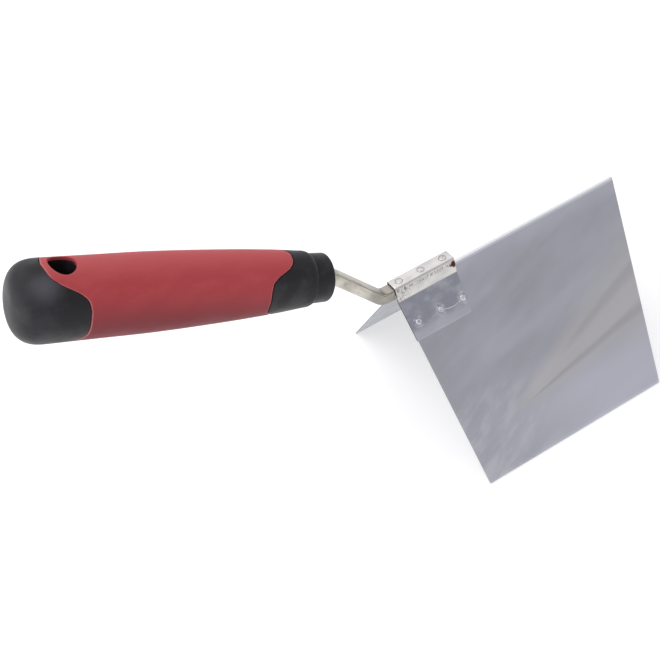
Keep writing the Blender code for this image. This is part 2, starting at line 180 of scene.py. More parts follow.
class Coat:
    """A new material that holds only its Principled shader, for a finish to add its patterns to."""

    MIX_UNDER, MIX_OVER, MIX_RESULT = 6, 7, 2         # the colour sockets of a mix node
    NOISE_SPAN = (0.3, 0.7)           # where nearly all of a noise lies
    NOISE_ROUGHNESS = 0.55

    def __init__(self, name: str, metallic: float, roughness: float) -> None:
        """Makes the material.

        Args:
            name: the common name of the real finish.
            metallic: 1 for bare metal, 0 for anything else.
            roughness: the shader's roughness where no pattern changes it.
        """
        self.material = bpy.data.materials.new(name)
        self.material.use_nodes = True
        self.tree = self.material.node_tree
        self.shader = self.tree.nodes["Principled BSDF"]
        self.shader.inputs["Metallic"].default_value = metallic
        self.shader.inputs["Roughness"].default_value = roughness

    def add(self, kind: str, inputs: dict | None = None, **settings) -> bpy.types.Node:
        """Adds a node to this material's tree."""
        return add_node(self.tree, kind, inputs, **settings)

    def feed(self, socket: str, source: bpy.types.NodeSocket) -> None:
        """Links a pattern to one of the shader's sockets."""
        self.tree.links.new(source, self.shader.inputs[socket])

    def surface(self) -> tuple[bpy.types.NodeSocket, ...]:
        """The stored place of a point on its piece in millimetres: whole, then its X, Y and Z."""
        place = self.add("ShaderNodeAttribute", attribute_name=SURFACE).outputs["Vector"]
        return (place, *self.add("ShaderNodeSeparateXYZ", {0: place}).outputs)

    def object_place(self) -> bpy.types.NodeSocket:
        """Object coordinates, in millimetres."""
        raw = self.add("ShaderNodeTexCoord").outputs["Object"]
        return self.add("ShaderNodeVectorMath", {0: raw, "Scale": 1 / MM}, operation="SCALE").outputs[0]

    def cloud(self, place: bpy.types.NodeSocket, grain: Grain) -> bpy.types.NodeSocket:
        """Lays a noise on a place in millimetres.

        Args:
            place: the coordinates in millimetres.
            grain: the noise's sizes.

        Returns:
            The noise, near 0.5 on average.
        """
        turned = self.add("ShaderNodeVectorRotate", {"Vector": place, "Angle": math.radians(grain.turn)},
                          rotation_type="Z_AXIS")
        scaled = self.add("ShaderNodeMapping", {"Vector": turned.outputs[0],
                                                "Location": (grain.shift, grain.shift, grain.shift),
                                                "Scale": tuple(1 / size for size in grain.size_mm)})
        noise = self.add("ShaderNodeTexNoise", {"Vector": scaled.outputs[0], "Scale": 1.0,
                                                "Detail": grain.detail, "Roughness": self.NOISE_ROUGHNESS})
        return noise.outputs["Fac"]

    def mask(self, *ramps: tuple[bpy.types.NodeSocket, float, float]) -> bpy.types.NodeSocket:
        """Multiplies eased ramps, so that the mask is 1 only where every one of them is.

        Args:
            ramps: each a value, where its ramp is 0, and where it is 1.

        Returns:
            The mask.
        """
        total = 1.0
        for value, start, end in ramps:
            ramp = self.add("ShaderNodeMapRange", {"Value": value, "From Min": start, "From Max": end},
                            interpolation_type="SMOOTHSTEP").outputs["Result"]
            total = self.add("ShaderNodeMath", {0: total, 1: ramp}, operation="MULTIPLY").outputs[0]
        return total

    def paint(self, base: str, *layers: tuple[bpy.types.NodeSocket, float, str]) -> None:
        """Gives the shader a base colour with others laid over it in turn.

        Args:
            base: the hex colour underneath.
            layers: each a mask, how much of the layer shows where the mask is 1, and its hex colour.
        """
        tone = linear(base)
        for mask, strength, colour in layers:
            share = self.add("ShaderNodeMath", {0: mask, 1: strength}, operation="MULTIPLY").outputs[0]
            over = linear(colour)
            mix = self.add("ShaderNodeMix", {0: share, self.MIX_UNDER: tone, self.MIX_OVER: over},
                           data_type="RGBA")
            tone = mix.outputs[self.MIX_RESULT]
        self.feed("Base Color", tone)

    def drift(self, noise: bpy.types.NodeSocket, ends: Pair) -> bpy.types.NodeSocket:
        """Turns a noise into a value that drifts between two ends.

        Args:
            noise: the noise.
            ends: the value where the noise is low, and where it is high.

        Returns:
            The value.
        """
        low, high = self.NOISE_SPAN
        moved = self.add("ShaderNodeMapRange", {"Value": noise, "From Min": low, "From Max": high,
                                                "To Min": ends[0], "To Max": ends[1]})
        return moved.outputs["Result"]

    def relief(self, *layers: tuple[bpy.types.NodeSocket, Grain]) -> None:
        """Gives the shader one bump on another.

        Args:
            layers: noises, each with the grain that it was made from.
        """
        under: dict = {}
        for height, grain in layers:
            bump = self.add("ShaderNodeBump",
                            {"Height": height, "Strength": 1.0, "Distance": grain.depth_mm * MM, **under})
            under = {"Normal": bump.outputs["Normal"]}
        self.feed("Normal", under["Normal"])


# ---------------------------------------------------------------- finishes

@dataclass(frozen=True)
class ColdRolledStainless:
    """Cold-rolled stainless sheet, wiped and handled: cool grey, with cloudy arcs and rolling lines."""

    deep: str = "#B1B2B7"
    cool: str = "#BCBDC3"
    warm: str = "#D5D1CE"
    streak: str = "#A6A4A9"
    pale: str = "#D6D6E0"
    bright: str = "#EDEDEF"
    cut_edge_shade: str = "#55554F"
    broad: Grain = Grain((60.0, 26.0, 60.0), 3.0, turn=-22, depth_mm=0.12)
    wiped: Grain = Grain((50.0, 7.0, 50.0), 4.0, turn=-16, shift=7)
    clouded: Grain = Grain((17.0, 6.0, 17.0), 3.0, turn=-28, shift=21)
    scratched: Grain = Grain((14.0, 0.4, 14.0), 1.0, turn=-20, shift=11, depth_mm=0.006)
    # Rolling lines are a few hundredths wide on the sheet. They are drawn ten times coarser, to show.
    rolled: Grain = Grain((18.0, 0.35, 18.0), 2.0, shift=3, depth_mm=0.004)
    wipe_from_mm: Pair = (20.0, 79.5)  # where the arcs of wiping fan out from
    wipe_blur: float = 0.05
    roughness: Pair = (0.30, 0.42)
    sheet_mm: float = 0.8
    wave_mm: float = 0.15             # a face may lie this far off the flat, and only cut edges get the painted shade
    edge_fade_mm: float = 0.06

    def build(self) -> bpy.types.Material:
        """Makes the material.

        Returns:
            A metal whose tone and gloss drift in wide streaks along the fold.
        """
        coat = Coat("cold_rolled_stainless", 1.0, self.roughness[0])
        place, x, y, lift = coat.surface()
        broad = coat.cloud(place, self.broad)
        wiped = coat.cloud(place, self.wiped)
        clouded = coat.cloud(place, self.clouded)
        scratches = coat.cloud(place, self.scratched)
        rolled = coat.cloud(place, self.rolled)

        start, side = self.wipe_from_mm
        along = coat.add("ShaderNodeMath", {0: x, 1: start}, operation="SUBTRACT").outputs[0]
        across = coat.add("ShaderNodeMath", {0: y, 1: side}, operation="ADD").outputs[0]
        fan = coat.add("ShaderNodeMath", {0: across, 1: along}, operation="ARCTAN2").outputs[0]
        uneven = coat.add("ShaderNodeMath", {0: wiped, 1: self.wipe_blur, 2: fan},
                          operation="MULTIPLY_ADD").outputs[0]
        angle = coat.add("ShaderNodeMath", {0: uneven}, operation="DEGREES").outputs[0]
        down = coat.add("ShaderNodeMath", {0: y}, operation="ABSOLUTE").outputs[0]
        outer = (lift, -self.wave_mm, -self.wave_mm - self.edge_fade_mm)
        inner = (lift, self.wave_mm - self.sheet_mm, self.wave_mm + self.edge_fade_mm - self.sheet_mm)

        coat.paint(self.deep,
                   # Wide drifts of tone, cooler down the wings.
                   (coat.mask((broad, 0.35, 0.65)), 1.0, self.cool),
                   (coat.mask((down, 20.0, 95.0)), 0.35, self.cool),
                   # Pale wipe marks, and a pale bloom low at the rear of the right wing.
                   (coat.mask((wiped, 0.40, 0.75)), 0.16, self.pale),
                   (coat.mask((y, -20.0, -88.0), (x, 75.0, 25.0)), 0.16, self.pale),
                   # Smears and scratches from handling, low at the rear.
                   (coat.mask((clouded, 0.42, 0.66), (down, 50.0, 72.0), (x, 52.0, 25.0)),
                    0.24, self.bright),
                   (coat.mask((scratches, 0.64, 0.72), (down, 58.0, 74.0), (x, 36.0, 20.0)),
                    0.3, self.bright),
                   # The fan that a cloth left: a pale field, a warm arc, and two dark streaks.
                   (coat.mask((angle, 16.0, -4.0), (along, -12.0, 55.0)), 0.7, self.pale),
                   (coat.mask((angle, -1.0, 15.0), (angle, 34.0, 20.0), (along, -6.0, 26.0)),
                    0.6, self.warm),
                   (coat.mask((angle, 8.8, 11.2), (angle, 13.6, 11.8), (along, 8.0, 30.0)),
                    0.42, self.streak),
                   (coat.mask((angle, 18.4, 21.5), (angle, 24.0, 22.0), (along, 34.0, 60.0)),
                    0.36, self.streak),
                   # A paler painted highlight beside the fold, and a bright painted highlight on it.
                   (coat.mask((down, 13.0, 3.0)), 0.32, self.pale),
                   (coat.mask((down, 2.9, 1.7)), 0.65, self.bright),
                   # Painted shade on the cut edges, away from both faces.
                   (coat.mask((down, 2.5, 2.8), outer, inner), 0.8, self.cut_edge_shade))
        coat.feed("Roughness", coat.drift(wiped, self.roughness))
        coat.relief((broad, self.broad), (rolled, self.rolled), (scratches, self.scratched))
        return coat.material


@dataclass(frozen=True)
class BrightPlatedSteel:
    """Zinc-plated pressed steel: pale scuffed walls, duller flanges, and rust where the plating broke."""

    plate: str = "#D8D5D0"
    cool: str = "#A0A2AB"
    smeared: str = "#C6C7CE"
    bright: str = "#F6F6F8"
    scuff: str = "#5F5850"
    rust: str = "#6E3B22"
    char_and_edge_shade: str = "#2A1810"
    roughness: Pair = (0.30, 0.46)
    rust_roughness: float = 0.9
    drifting: Grain = Grain((9.0, 5.0, 5.0), 3.0, depth_mm=0.12)
    specked: Grain = Grain((0.55, 0.9, 1.3), 2.0, shift=5, depth_mm=0.02)
    ragged: Grain = Grain((1.5, 1.5, 1.5), 3.0, shift=15)
    # Polishing lines are far finer than this on the metal. They are drawn coarser, to show.
    polished: Grain = Grain((3.0, 0.3, 0.3), 2.0, shift=9, depth_mm=0.003)
    wall_out_mm: Pair = (3.5, 3.65)   # how far out from the middle the walls' outer faces begin
    wall_up_mm: Pair = (-0.2, 0.6)    # how far from their feet the walls' colour begins, and is full
    flange_fade_mm: float = 0.4
    foot_mm: float = -3.4             # height of the walls' feet, measured from the fold like the next two
    weld_mm: float = -12.8            # height of the flange welds
    scuff_mm: float = 2.6             # height of the row of scuffs
    rust_at_mm: Triple = (30.8, -4.0, 1.9)
    rust_size_mm: float = 3.5
    rust_ragged_mm: float = 4.0       # how far the noise moves the rust's edge
    first_weld_mm: float = 4.0        # the flange welds' place along the fold
    weld_pitch_mm: float = 12.4
    drag_bow_mm: float = 1.1

    def build(self) -> bpy.types.Material:
        """Makes the material.

        Returns:
            A metal with cool flanges, pale walls, a row of scuffs on them, one patch of rust, and painted
            shade on the rear cut edge.
        """
        coat = Coat("bright_plated_steel", 1.0, self.roughness[0])
        place, x, y, z = coat.surface()
        drift = coat.cloud(place, self.drifting)
        speck = coat.cloud(place, self.specked)
        ragged = coat.cloud(place, self.ragged)
        fine = coat.cloud(place, self.polished)
        outward = coat.add("ShaderNodeMath", {0: y}, operation="ABSOLUTE").outputs[0]
        wall = ((outward, *self.wall_out_mm),
                (z, self.foot_mm + self.wall_up_mm[0], self.foot_mm + self.wall_up_mm[1]))

        half_pitch = self.weld_pitch_mm / 2
        past_weld = coat.add("ShaderNodeMath", {0: x, 1: self.first_weld_mm},
                             operation="SUBTRACT").outputs[0]
        from_weld = coat.add("ShaderNodeMath", {0: past_weld, 1: -half_pitch, 2: half_pitch},
                             operation="WRAP").outputs[0]
        level = coat.add("ShaderNodeMath", {0: z, 1: self.weld_mm}, operation="SUBTRACT").outputs[0]
        arm = coat.add("ShaderNodeCombineXYZ", {"X": from_weld, "Y": level}).outputs[0]
        around_weld = coat.add("ShaderNodeVectorMath", {0: arm}, operation="LENGTH").outputs["Value"]

        # The electrode dragged a bright bowed line from the second to the third weld of the right flange.
        turn = coat.add("ShaderNodeMapRange",
                        {"Value": past_weld, "From Min": self.weld_pitch_mm,
                         "From Max": 2 * self.weld_pitch_mm, "To Max": math.pi}).outputs[0]
        bow = coat.add("ShaderNodeMath", {0: turn}, operation="SINE").outputs[0]
        beside = coat.add("ShaderNodeMath", {0: bow, 1: self.drag_bow_mm, 2: level},
                          operation="MULTIPLY_ADD").outputs[0]
        off_line = coat.add("ShaderNodeMath", {0: beside}, operation="ABSOLUTE").outputs[0]

        away = coat.add("ShaderNodeVectorMath", {0: place, 1: self.rust_at_mm}, operation="DISTANCE")
        reach = coat.add("ShaderNodeMath", {0: ragged, 1: self.rust_ragged_mm, 2: away.outputs["Value"]},
                         operation="MULTIPLY_ADD").outputs[0]
        rusted = coat.mask((reach, self.rust_size_mm + 0.9, self.rust_size_mm))
        flange = (z, self.foot_mm + self.flange_fade_mm, self.foot_mm - self.flange_fade_mm)
        coat.paint(self.plate,
                   (coat.mask((drift, 0.35, 0.7)), 0.35, self.cool),
                   # The flanges: cool and smeared, paler at their ends and around the welds.
                   (coat.mask(flange), 1.0, self.cool),
                   (coat.mask(flange, (drift, 0.45, 0.70)), 0.6, self.smeared),
                   (coat.mask(flange, (z, -13.5, -16.8)), 0.8, self.smeared),
                   (coat.mask(flange, (around_weld, 3.4, 1.6), (ragged, 0.42, 0.58)), 0.4, self.bright),
                   # The dragged line.
                   (coat.mask((off_line, 0.26, 0.08), (y, -9.0, -10.0), (bow, 0.0, 0.2),
                              (ragged, 0.36, 0.52)), 0.7, self.bright),
                   # Scuffs in a row along the walls, and over their rear ends.
                   (coat.mask(*wall, (speck, 0.49, 0.57), (z, self.scuff_mm - 1.5, self.scuff_mm - 0.5),
                              (z, self.scuff_mm + 1.2, self.scuff_mm + 0.4)), 0.6, self.scuff),
                   (coat.mask(*wall, (speck, 0.44, 0.60), (x, 9.0, 3.0)), 0.5, self.scuff),
                   # Painted shade on the cut edge at the rear, and the rust with its charred middle.
                   (coat.mask((x, -0.62, -0.76)), 0.9, self.char_and_edge_shade),
                   (rusted, 1.0, self.rust),
                   (coat.mask((reach, self.rust_size_mm - 0.2, self.rust_size_mm - 1.0)), 1.0, self.char_and_edge_shade))
        bare = coat.add("ShaderNodeMath", {0: 1.0, 1: rusted}, operation="SUBTRACT")
        coat.feed("Metallic", bare.outputs[0])
        gloss = coat.drift(drift, self.roughness)
        rough = coat.add("ShaderNodeMix", {0: rusted, 2: gloss, 3: self.rust_roughness}, data_type="FLOAT")
        coat.feed("Roughness", rough.outputs[0])
        coat.relief((drift, self.drifting), (speck, self.specked), (fine, self.polished))
        return coat.material


@dataclass(frozen=True)
class DrawnBarSteel:
    """Cold-drawn steel bar, bent and left bare: dull and mottled, with dark specks and drawing lines."""

    pale: str = "#D5D1C8"
    dull: str = "#ADA89D"
    speck: str = "#6F6A60"
    # The heel's tarnish tint, which also carries painted shade under the saddle.
    tarnish: str = "#8F8B84"
    heel_mm: float = 54.0             # how far along the bar the heel's tint and painted shade are full
    roughness: Pair = (0.34, 0.50)
    blotched: Grain = Grain((7.0, 5.0, 5.0), 2.0, depth_mm=0.08)
    spotted: Grain = Grain((1.6, 1.6, 1.6), 2.0, shift=4, depth_mm=0.02)
    drawn: Grain = Grain((9.0, 0.5, 0.35), 2.0, shift=6, depth_mm=0.004)
    half_width_mm: float = 3.15
    score_mm: float = 2.2             # the drawing die left a dark line this far above the bar's middle
    score_half_mm: float = 0.3

    def build(self) -> bpy.types.Material:
        """Makes the material.

        Returns:
            A warm grey metal with blotches a few millimetres wide.
        """
        coat = Coat("drawn_bar_steel", 1.0, self.roughness[0])
        place, along, y, rise = coat.surface()
        blotch = coat.cloud(place, self.blotched)
        spots = coat.cloud(place, self.spotted)
        lines = coat.cloud(place, self.drawn)
        outward = coat.add("ShaderNodeMath", {0: y}, operation="ABSOLUTE").outputs[0]
        off_score = coat.add("ShaderNodeMath", {0: rise, 1: self.score_mm},
                             operation="SUBTRACT").outputs[0]
        beside = coat.add("ShaderNodeMath", {0: off_score}, operation="ABSOLUTE").outputs[0]
        coat.paint(self.dull,
                   # Mottled, with drawing lines, and from the heel on under the saddle a tarnish tint with
                   # painted shade.
                   (coat.mask((blotch, 0.30, 0.70)), 1.0, self.pale),
                   (coat.mask((lines, 0.5, 0.7)), 0.3, self.dull),
                   (coat.mask((along, self.heel_mm - 9.0, self.heel_mm)), 0.6, self.tarnish),
                   # Dark specks, and the die's score along both sides.
                   (coat.mask((spots, 0.62, 0.72)), 0.6, self.speck),
                   (coat.mask((outward, self.half_width_mm - 0.14, self.half_width_mm - 0.04),
                              (beside, self.score_half_mm, 0.1), (blotch, 0.25, 0.45)), 0.75, self.speck))
        coat.feed("Roughness", coat.drift(blotch, self.roughness))
        coat.relief((blotch, self.blotched), (spots, self.spotted), (lines, self.drawn))
        return coat.material


@dataclass(frozen=True)
class SpotWeldMetal:
    """Steel squeezed and melted by a welding electrode: bright on top, with a dark blued ring."""

    name: str = "spot_weld_metal"
    bright: str = "#DEDEE1"
    blued: str = "#6E6D72"
    ring_strength: float = 0.45
    ring_mm: float = 1.5              # from the weld's middle to its ring
    spotted: Grain = Grain((1.4, 1.4, 1.4), 2.0, depth_mm=0.05)
    roughness: float = 0.24

    def build(self) -> bpy.types.Material:
        """Makes the material.

        Returns:
            A bright metal with tarnish marks and a broken ring.
        """
        coat = Coat(self.name, 1.0, self.roughness)
        spots = coat.cloud(coat.object_place(), self.spotted)
        _, out, _, _ = coat.surface()
        coat.paint(self.bright,
                   (coat.mask((spots, 0.48, 0.66)), 0.45, self.blued),
                   (coat.mask((out, self.ring_mm - 0.1, self.ring_mm + 0.1), (spots, 0.25, 0.5)),
                    self.ring_strength, self.blued))
        coat.relief((spots, self.spotted))
        return coat.material


@dataclass(frozen=True)
class MouldedPolypropylene:
    """Black polypropylene from a spark-eroded mould: a satin grain in soft patches, with a painted highlight
    on the butt and its end painted a little paler.
    """

    black: str = "#171618"
    rubbed: str = "#2E2C31"
    roughness: Pair = (0.54, 0.40)
    ior: float = 1.49
    specular: float = 0.3             # the grain scatters part of the gloss
    patchy: Grain = Grain((12.0, 12.0, 9.0), 3.0, depth_mm=0.10)
    eroded: Grain = Grain((0.35, 0.35, 0.35), 1.0, depth_mm=0.012)
    # The grey of the painted highlight on the butt.
    polished: str = "#55545A"
    highlight_at_mm: Triple = (125.5, -11.5, 0.0)  # along the handle, then round it
    highlight_mm: float = 9.0
    end_mm: Pair = (129.0, 136.0)     # where the butt's end is painted a little paler

    def build(self) -> bpy.types.Material:
        """Makes the material.

        Returns:
            A satin black with soft paler patches, a painted highlight on the butt, and a paler end.
        """
        coat = Coat("moulded_polypropylene", 0.0, self.roughness[0])
        coat.shader.inputs["IOR"].default_value = self.ior
        coat.shader.inputs["Specular IOR Level"].default_value = self.specular
        place = coat.object_place()
        patch = coat.cloud(place, self.patchy)
        satin = coat.cloud(place, self.eroded)
        stored, along, _, _ = coat.surface()
        away = coat.add("ShaderNodeVectorMath", {0: stored, 1: self.highlight_at_mm},
                        operation="DISTANCE").outputs["Value"]
        coat.paint(self.black,
                   (coat.mask((patch, 0.42, 0.70)), 0.8, self.rubbed),
                   # A painted highlight on the butt, and the butt's end painted a little paler.
                   (coat.mask((away, self.highlight_mm, 0.0)), 0.8, self.polished),
                   (coat.mask((along, *self.end_mm)), 0.12, self.polished))
        coat.feed("Roughness", coat.drift(patch, self.roughness))
        coat.relief((patch, self.patchy), (satin, self.eroded))
        return coat.material


@dataclass(frozen=True)
class SoftGripElastomer:
    """Red thermoplastic elastomer: matt, with painted light on its crown, a paler rim that is partly wear
    and partly painted highlight, and painted shade underneath.
    """

    red: str = "#AC3B40"
    mottle_and_crown_light: str = "#BB4D4F"
    rim: str = "#CF8280"
    underside_shade: str = "#74242A"
    roughness: Pair = (0.52, 0.66)
    ior: float = 1.5
    specular: float = 0.35
    mottled: Grain = Grain((16.0, 7.0, 7.0), 4.0, depth_mm=0.06)
    matt: Grain = Grain((0.45, 0.45, 0.45), 1.0, shift=2, depth_mm=0.015)
    rim_mm: float = 0.6
    underside_shade_mm: Pair = (13.0, 32.0)     # how far round the painted shade starts, and is full

    def build(self) -> bpy.types.Material:
        """Makes the material.

        Returns:
            A matt red with faint mottling, painted light on the crown, a paler rim that is partly wear and
            partly painted highlight, and painted shade on the underside.
        """
        coat = Coat("soft_grip_elastomer", 0.0, self.roughness[0])
        coat.shader.inputs["IOR"].default_value = self.ior
        coat.shader.inputs["Specular IOR Level"].default_value = self.specular
        place = coat.object_place()
        mottle = coat.cloud(place, self.mottled)
        skin = coat.cloud(place, self.matt)
        _, _, y, from_edge = coat.surface()
        around = coat.add("ShaderNodeMath", {0: y}, operation="ABSOLUTE").outputs[0]
        coat.paint(self.red,
                   (coat.mask((mottle, 0.35, 0.70)), 0.5, self.mottle_and_crown_light),
                   # Painted light: the crown is painted paler.
                   (coat.mask((around, 14.0, 2.0)), 0.7, self.mottle_and_crown_light),
                   # Painted shade: the underside is painted darker.
                   (coat.mask((around, *self.underside_shade_mm)), 1.0, self.underside_shade),
                   # The rim is painted paler, partly for wear and partly as a painted highlight.
                   (coat.mask((from_edge, self.rim_mm, 0.15), (mottle, 0.25, 0.45)), 0.7, self.rim))
        coat.feed("Roughness", coat.drift(mottle, self.roughness))
        coat.relief((mottle, self.mottled), (skin, self.matt))
        return coat.material


@dataclass(frozen=True)
class OpalAcrylic:
    """The top of a light table: matt white acrylic, lit a little from below."""

    white: str = "#CFCFCF"
    glow: float = 0.8
    roughness: float = 0.9
    tooth: Grain = Grain((1.5, 1.5, 1.5), 1.0, depth_mm=0.01)

    def build(self) -> bpy.types.Material:
        """Makes the material.

        Returns:
            A matt white that glows a little.
        """
        coat = Coat("opal_acrylic", 0.0, self.roughness)
        coat.shader.inputs["Base Color"].default_value = linear(self.white)
        coat.shader.inputs["Emission Color"].default_value = linear(self.white)
        coat.shader.inputs["Emission Strength"].default_value = self.glow
        coat.relief((coat.cloud(coat.object_place(), self.tooth), self.tooth))
        return coat.material


# ---------------------------------------------------------------- mesh helpers

def new_object(name: str, data: bpy.types.ID) -> bpy.types.Object:
    """Makes an object from a mesh, a light or a camera.

    Args:
        name: the object's name.
        data: what it shows.

    Returns:
        The object, linked to the scene.
    """
    made = bpy.data.objects.new(name, data)
    bpy.context.scene.collection.objects.link(made)
    return made


def new_piece(name: str, points: Sequence, faces: Sequence[Sequence[int]],
              edges: Sequence[tuple[int, int]] = ()) -> bpy.types.Object:
    """Makes a mesh object with its place in its mesh.

    Args:
        name: the piece's name.
        points: its vertices in the row frame.
        faces: vertex numbers of each face.
        edges: vertex numbers of each edge that has no face.

    Returns:
        The object, linked to the scene.
    """
    mesh = bpy.data.meshes.new(name)
    mesh.from_pydata([tuple(point) for point in points], edges, faces)
    return new_object(name, mesh)


def grid_faces(rows: int, columns: int, wrap: bool) -> list[tuple[int, int, int, int]]:
    """Quads of a grid whose points run row by row.

    Args:
        rows: how many rows of points.
        columns: how many points a row has.
        wrap: whether the last column joins the first.

    Returns:
        Four vertex numbers for each quad.
    """
    reach = columns if wrap else columns - 1
    return [(r * columns + c, r * columns + (c + 1) % columns,
             (r + 1) * columns + (c + 1) % columns, (r + 1) * columns + c)
            for r in range(rows - 1) for c in range(reach)]


def make_solid(piece: bpy.types.Object, recalculate: bool = True) -> bpy.types.Object:
    """Turns a piece and its modifiers into one plain mesh with its faces pointing out.

    Args:
        piece: the piece, whose modifiers are used up.
        recalculate: whether the normals are worked out again.

    Returns:
        The same object.
    """
    evaluated = piece.evaluated_get(bpy.context.evaluated_depsgraph_get())
    mesh = bpy.data.meshes.new_from_object(evaluated)
    piece.modifiers.clear()
    piece.data = mesh
    mesh.name = piece.name
    bm = bmesh.new()
    bm.from_mesh(mesh)
    bmesh.ops.remove_doubles(bm, verts=bm.verts, dist=MERGE)
    if recalculate:
        bmesh.ops.recalc_face_normals(bm, faces=bm.faces)
        if bm.calc_volume(signed=True) < 0:
            bmesh.ops.reverse_faces(bm, faces=bm.faces)
    bm.to_mesh(mesh)
    bm.free()
    return piece


def add_sheet(piece: bpy.types.Object, thickness: float, edge: float) -> None:
    """Gives an open surface its thickness downwards, and breaks the cut edges.

    Args:
        piece: the surface.
        thickness: the sheet's thickness.
        edge: how wide the broken edge is.
    """
    if sum(face.normal.z for face in piece.data.polygons) < 0:
        piece.data.flip_normals()
    solid = piece.modifiers.new("sheet_thickness", "SOLIDIFY")
    solid.thickness = thickness
    solid.offset = -1
    solid.use_even_offset = True
    solid.use_quality_normals = True
    broken = piece.modifiers.new("broken_edge", "BEVEL")
    broken.width = edge
    broken.segments = BROKEN_EDGE_STEPS
    broken.limit_method = "ANGLE"
    broken.angle_limit = BROKEN_ABOVE


def cut(piece: bpy.types.Object, cutter: bpy.types.Object) -> None:
    """Takes a cutter's shape out of a piece at once, and removes the cutter.

    Args:
        piece: the closed piece that is cut.
        cutter: the closed shape that is taken out of it.
    """
    boolean = piece.modifiers.new("cut", "BOOLEAN")
    boolean.operation = "DIFFERENCE"
    boolean.object = cutter
    make_solid(piece, recalculate=False)
    bpy.data.objects.remove(cutter)


def store_places(piece: bpy.types.Object, place: Callable[[Vector], Triple]) -> None:
    """Stores for each point its place on the piece, for the finish to read.

    Args:
        piece: the finished mesh.
        place: gives the place in millimetres for a point in metres.
    """
    mesh = piece.data
    attribute = mesh.attributes.new(SURFACE, "FLOAT_VECTOR", "POINT")
    flat = [value for vertex in mesh.vertices for value in place(vertex.co)]
    attribute.data.foreach_set("vector", flat)


def dress(piece: bpy.types.Object, material: bpy.types.Material, nodes: Sequence[str],
          smooth_below: float = 35.0) -> None:
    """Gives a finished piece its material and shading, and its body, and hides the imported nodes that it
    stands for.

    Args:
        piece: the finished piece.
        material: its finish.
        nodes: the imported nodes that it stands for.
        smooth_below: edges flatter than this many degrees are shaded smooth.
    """
    piece.data.materials.clear()
    piece.data.materials.append(material)
    piece.data.shade_smooth()
    piece.data.set_sharp_from_angle(angle=math.radians(smooth_below))
    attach(piece, BODY)
    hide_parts(*nodes)
    LOG.info("%s: %d faces, stands for %s", piece.name, len(piece.data.polygons), ", ".join(nodes))


def rounded(points: Sequence[Pair], radii: Sequence[float], steps: int) -> list[Vector]:
    """A line in two coordinates, with an arc at each inner corner.

    Args:
        points: its corners.
        radii: the arc's radius at each inner corner.
        steps: how many pieces each arc has.

    Returns:
        The points of the rounded line.
    """
    corners = [Vector(point) for point in points]
    line = [corners[0]]
    for before, corner, after, radius in zip(corners, corners[1:], corners[2:], radii):
        incoming = (corner - before).normalized()
        outgoing = (after - corner).normalized()
        turn = incoming.angle(outgoing)
        start = corner - incoming * radius * math.tan(turn / 2)
        centre = corner + (outgoing - incoming).normalized() * radius / math.cos(turn / 2)
        sense = math.copysign(1, incoming.x * outgoing.y - incoming.y * outgoing.x)
        arm = start - centre
        for step in range(steps + 1):
            line.append(centre + Matrix.Rotation(sense * turn * step / steps, 2) @ arm)
    line.append(corners[-1])
    return line


# ---------------------------------------------------------------- the fold that the steel is measured from

@dataclass(frozen=True)
class FoldLine:
    """The sharp line where the outer faces of both wings would meet."""

    rear: float
    height: float
    half_angle: float

    @classmethod
    def from_blade(cls, half_angle: float, fold_radius: float) -> "FoldLine":
        """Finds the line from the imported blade's box.

        Args:
            half_angle: half of the angle between the wings.
            fold_radius: the outside radius of the fold.

        Returns:
            The fold line.
        """
        low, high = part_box("blade")
        return cls(low.x, high.z + fold_radius / math.sin(half_angle) - fold_radius, half_angle)

    def wing(self, down: float, lift: float) -> Pair:
        """Y and Z of a point on the left wing: down along its outer face, and lifted off it."""
        sine, cosine = math.sin(self.half_angle), math.cos(self.half_angle)
        return (down * sine + lift * cosine, self.height + lift * sine - down * cosine)

    def wing_place(self, point: Vector) -> Triple:
        """Where a point lies on its wing.

        Args:
            point: a point of the blade.

        Returns:
            Millimetres along the fold, down the wing (below 0 on the right one), and off its face.
        """
        sine, cosine = math.sin(self.half_angle), math.cos(self.half_angle)
        fall = self.height - point.z
        down = abs(point.y) * sine + fall * cosine
        lift = abs(point.y) * cosine - fall * sine
        return ((point.x - self.rear) / MM, math.copysign(down, point.y) / MM, lift / MM)

    def upright_place(self, point: Vector) -> Triple:
        """Millimetres along the fold, across it, and above it."""
        return ((point.x - self.rear) / MM, point.y / MM, (point.z - self.height) / MM)


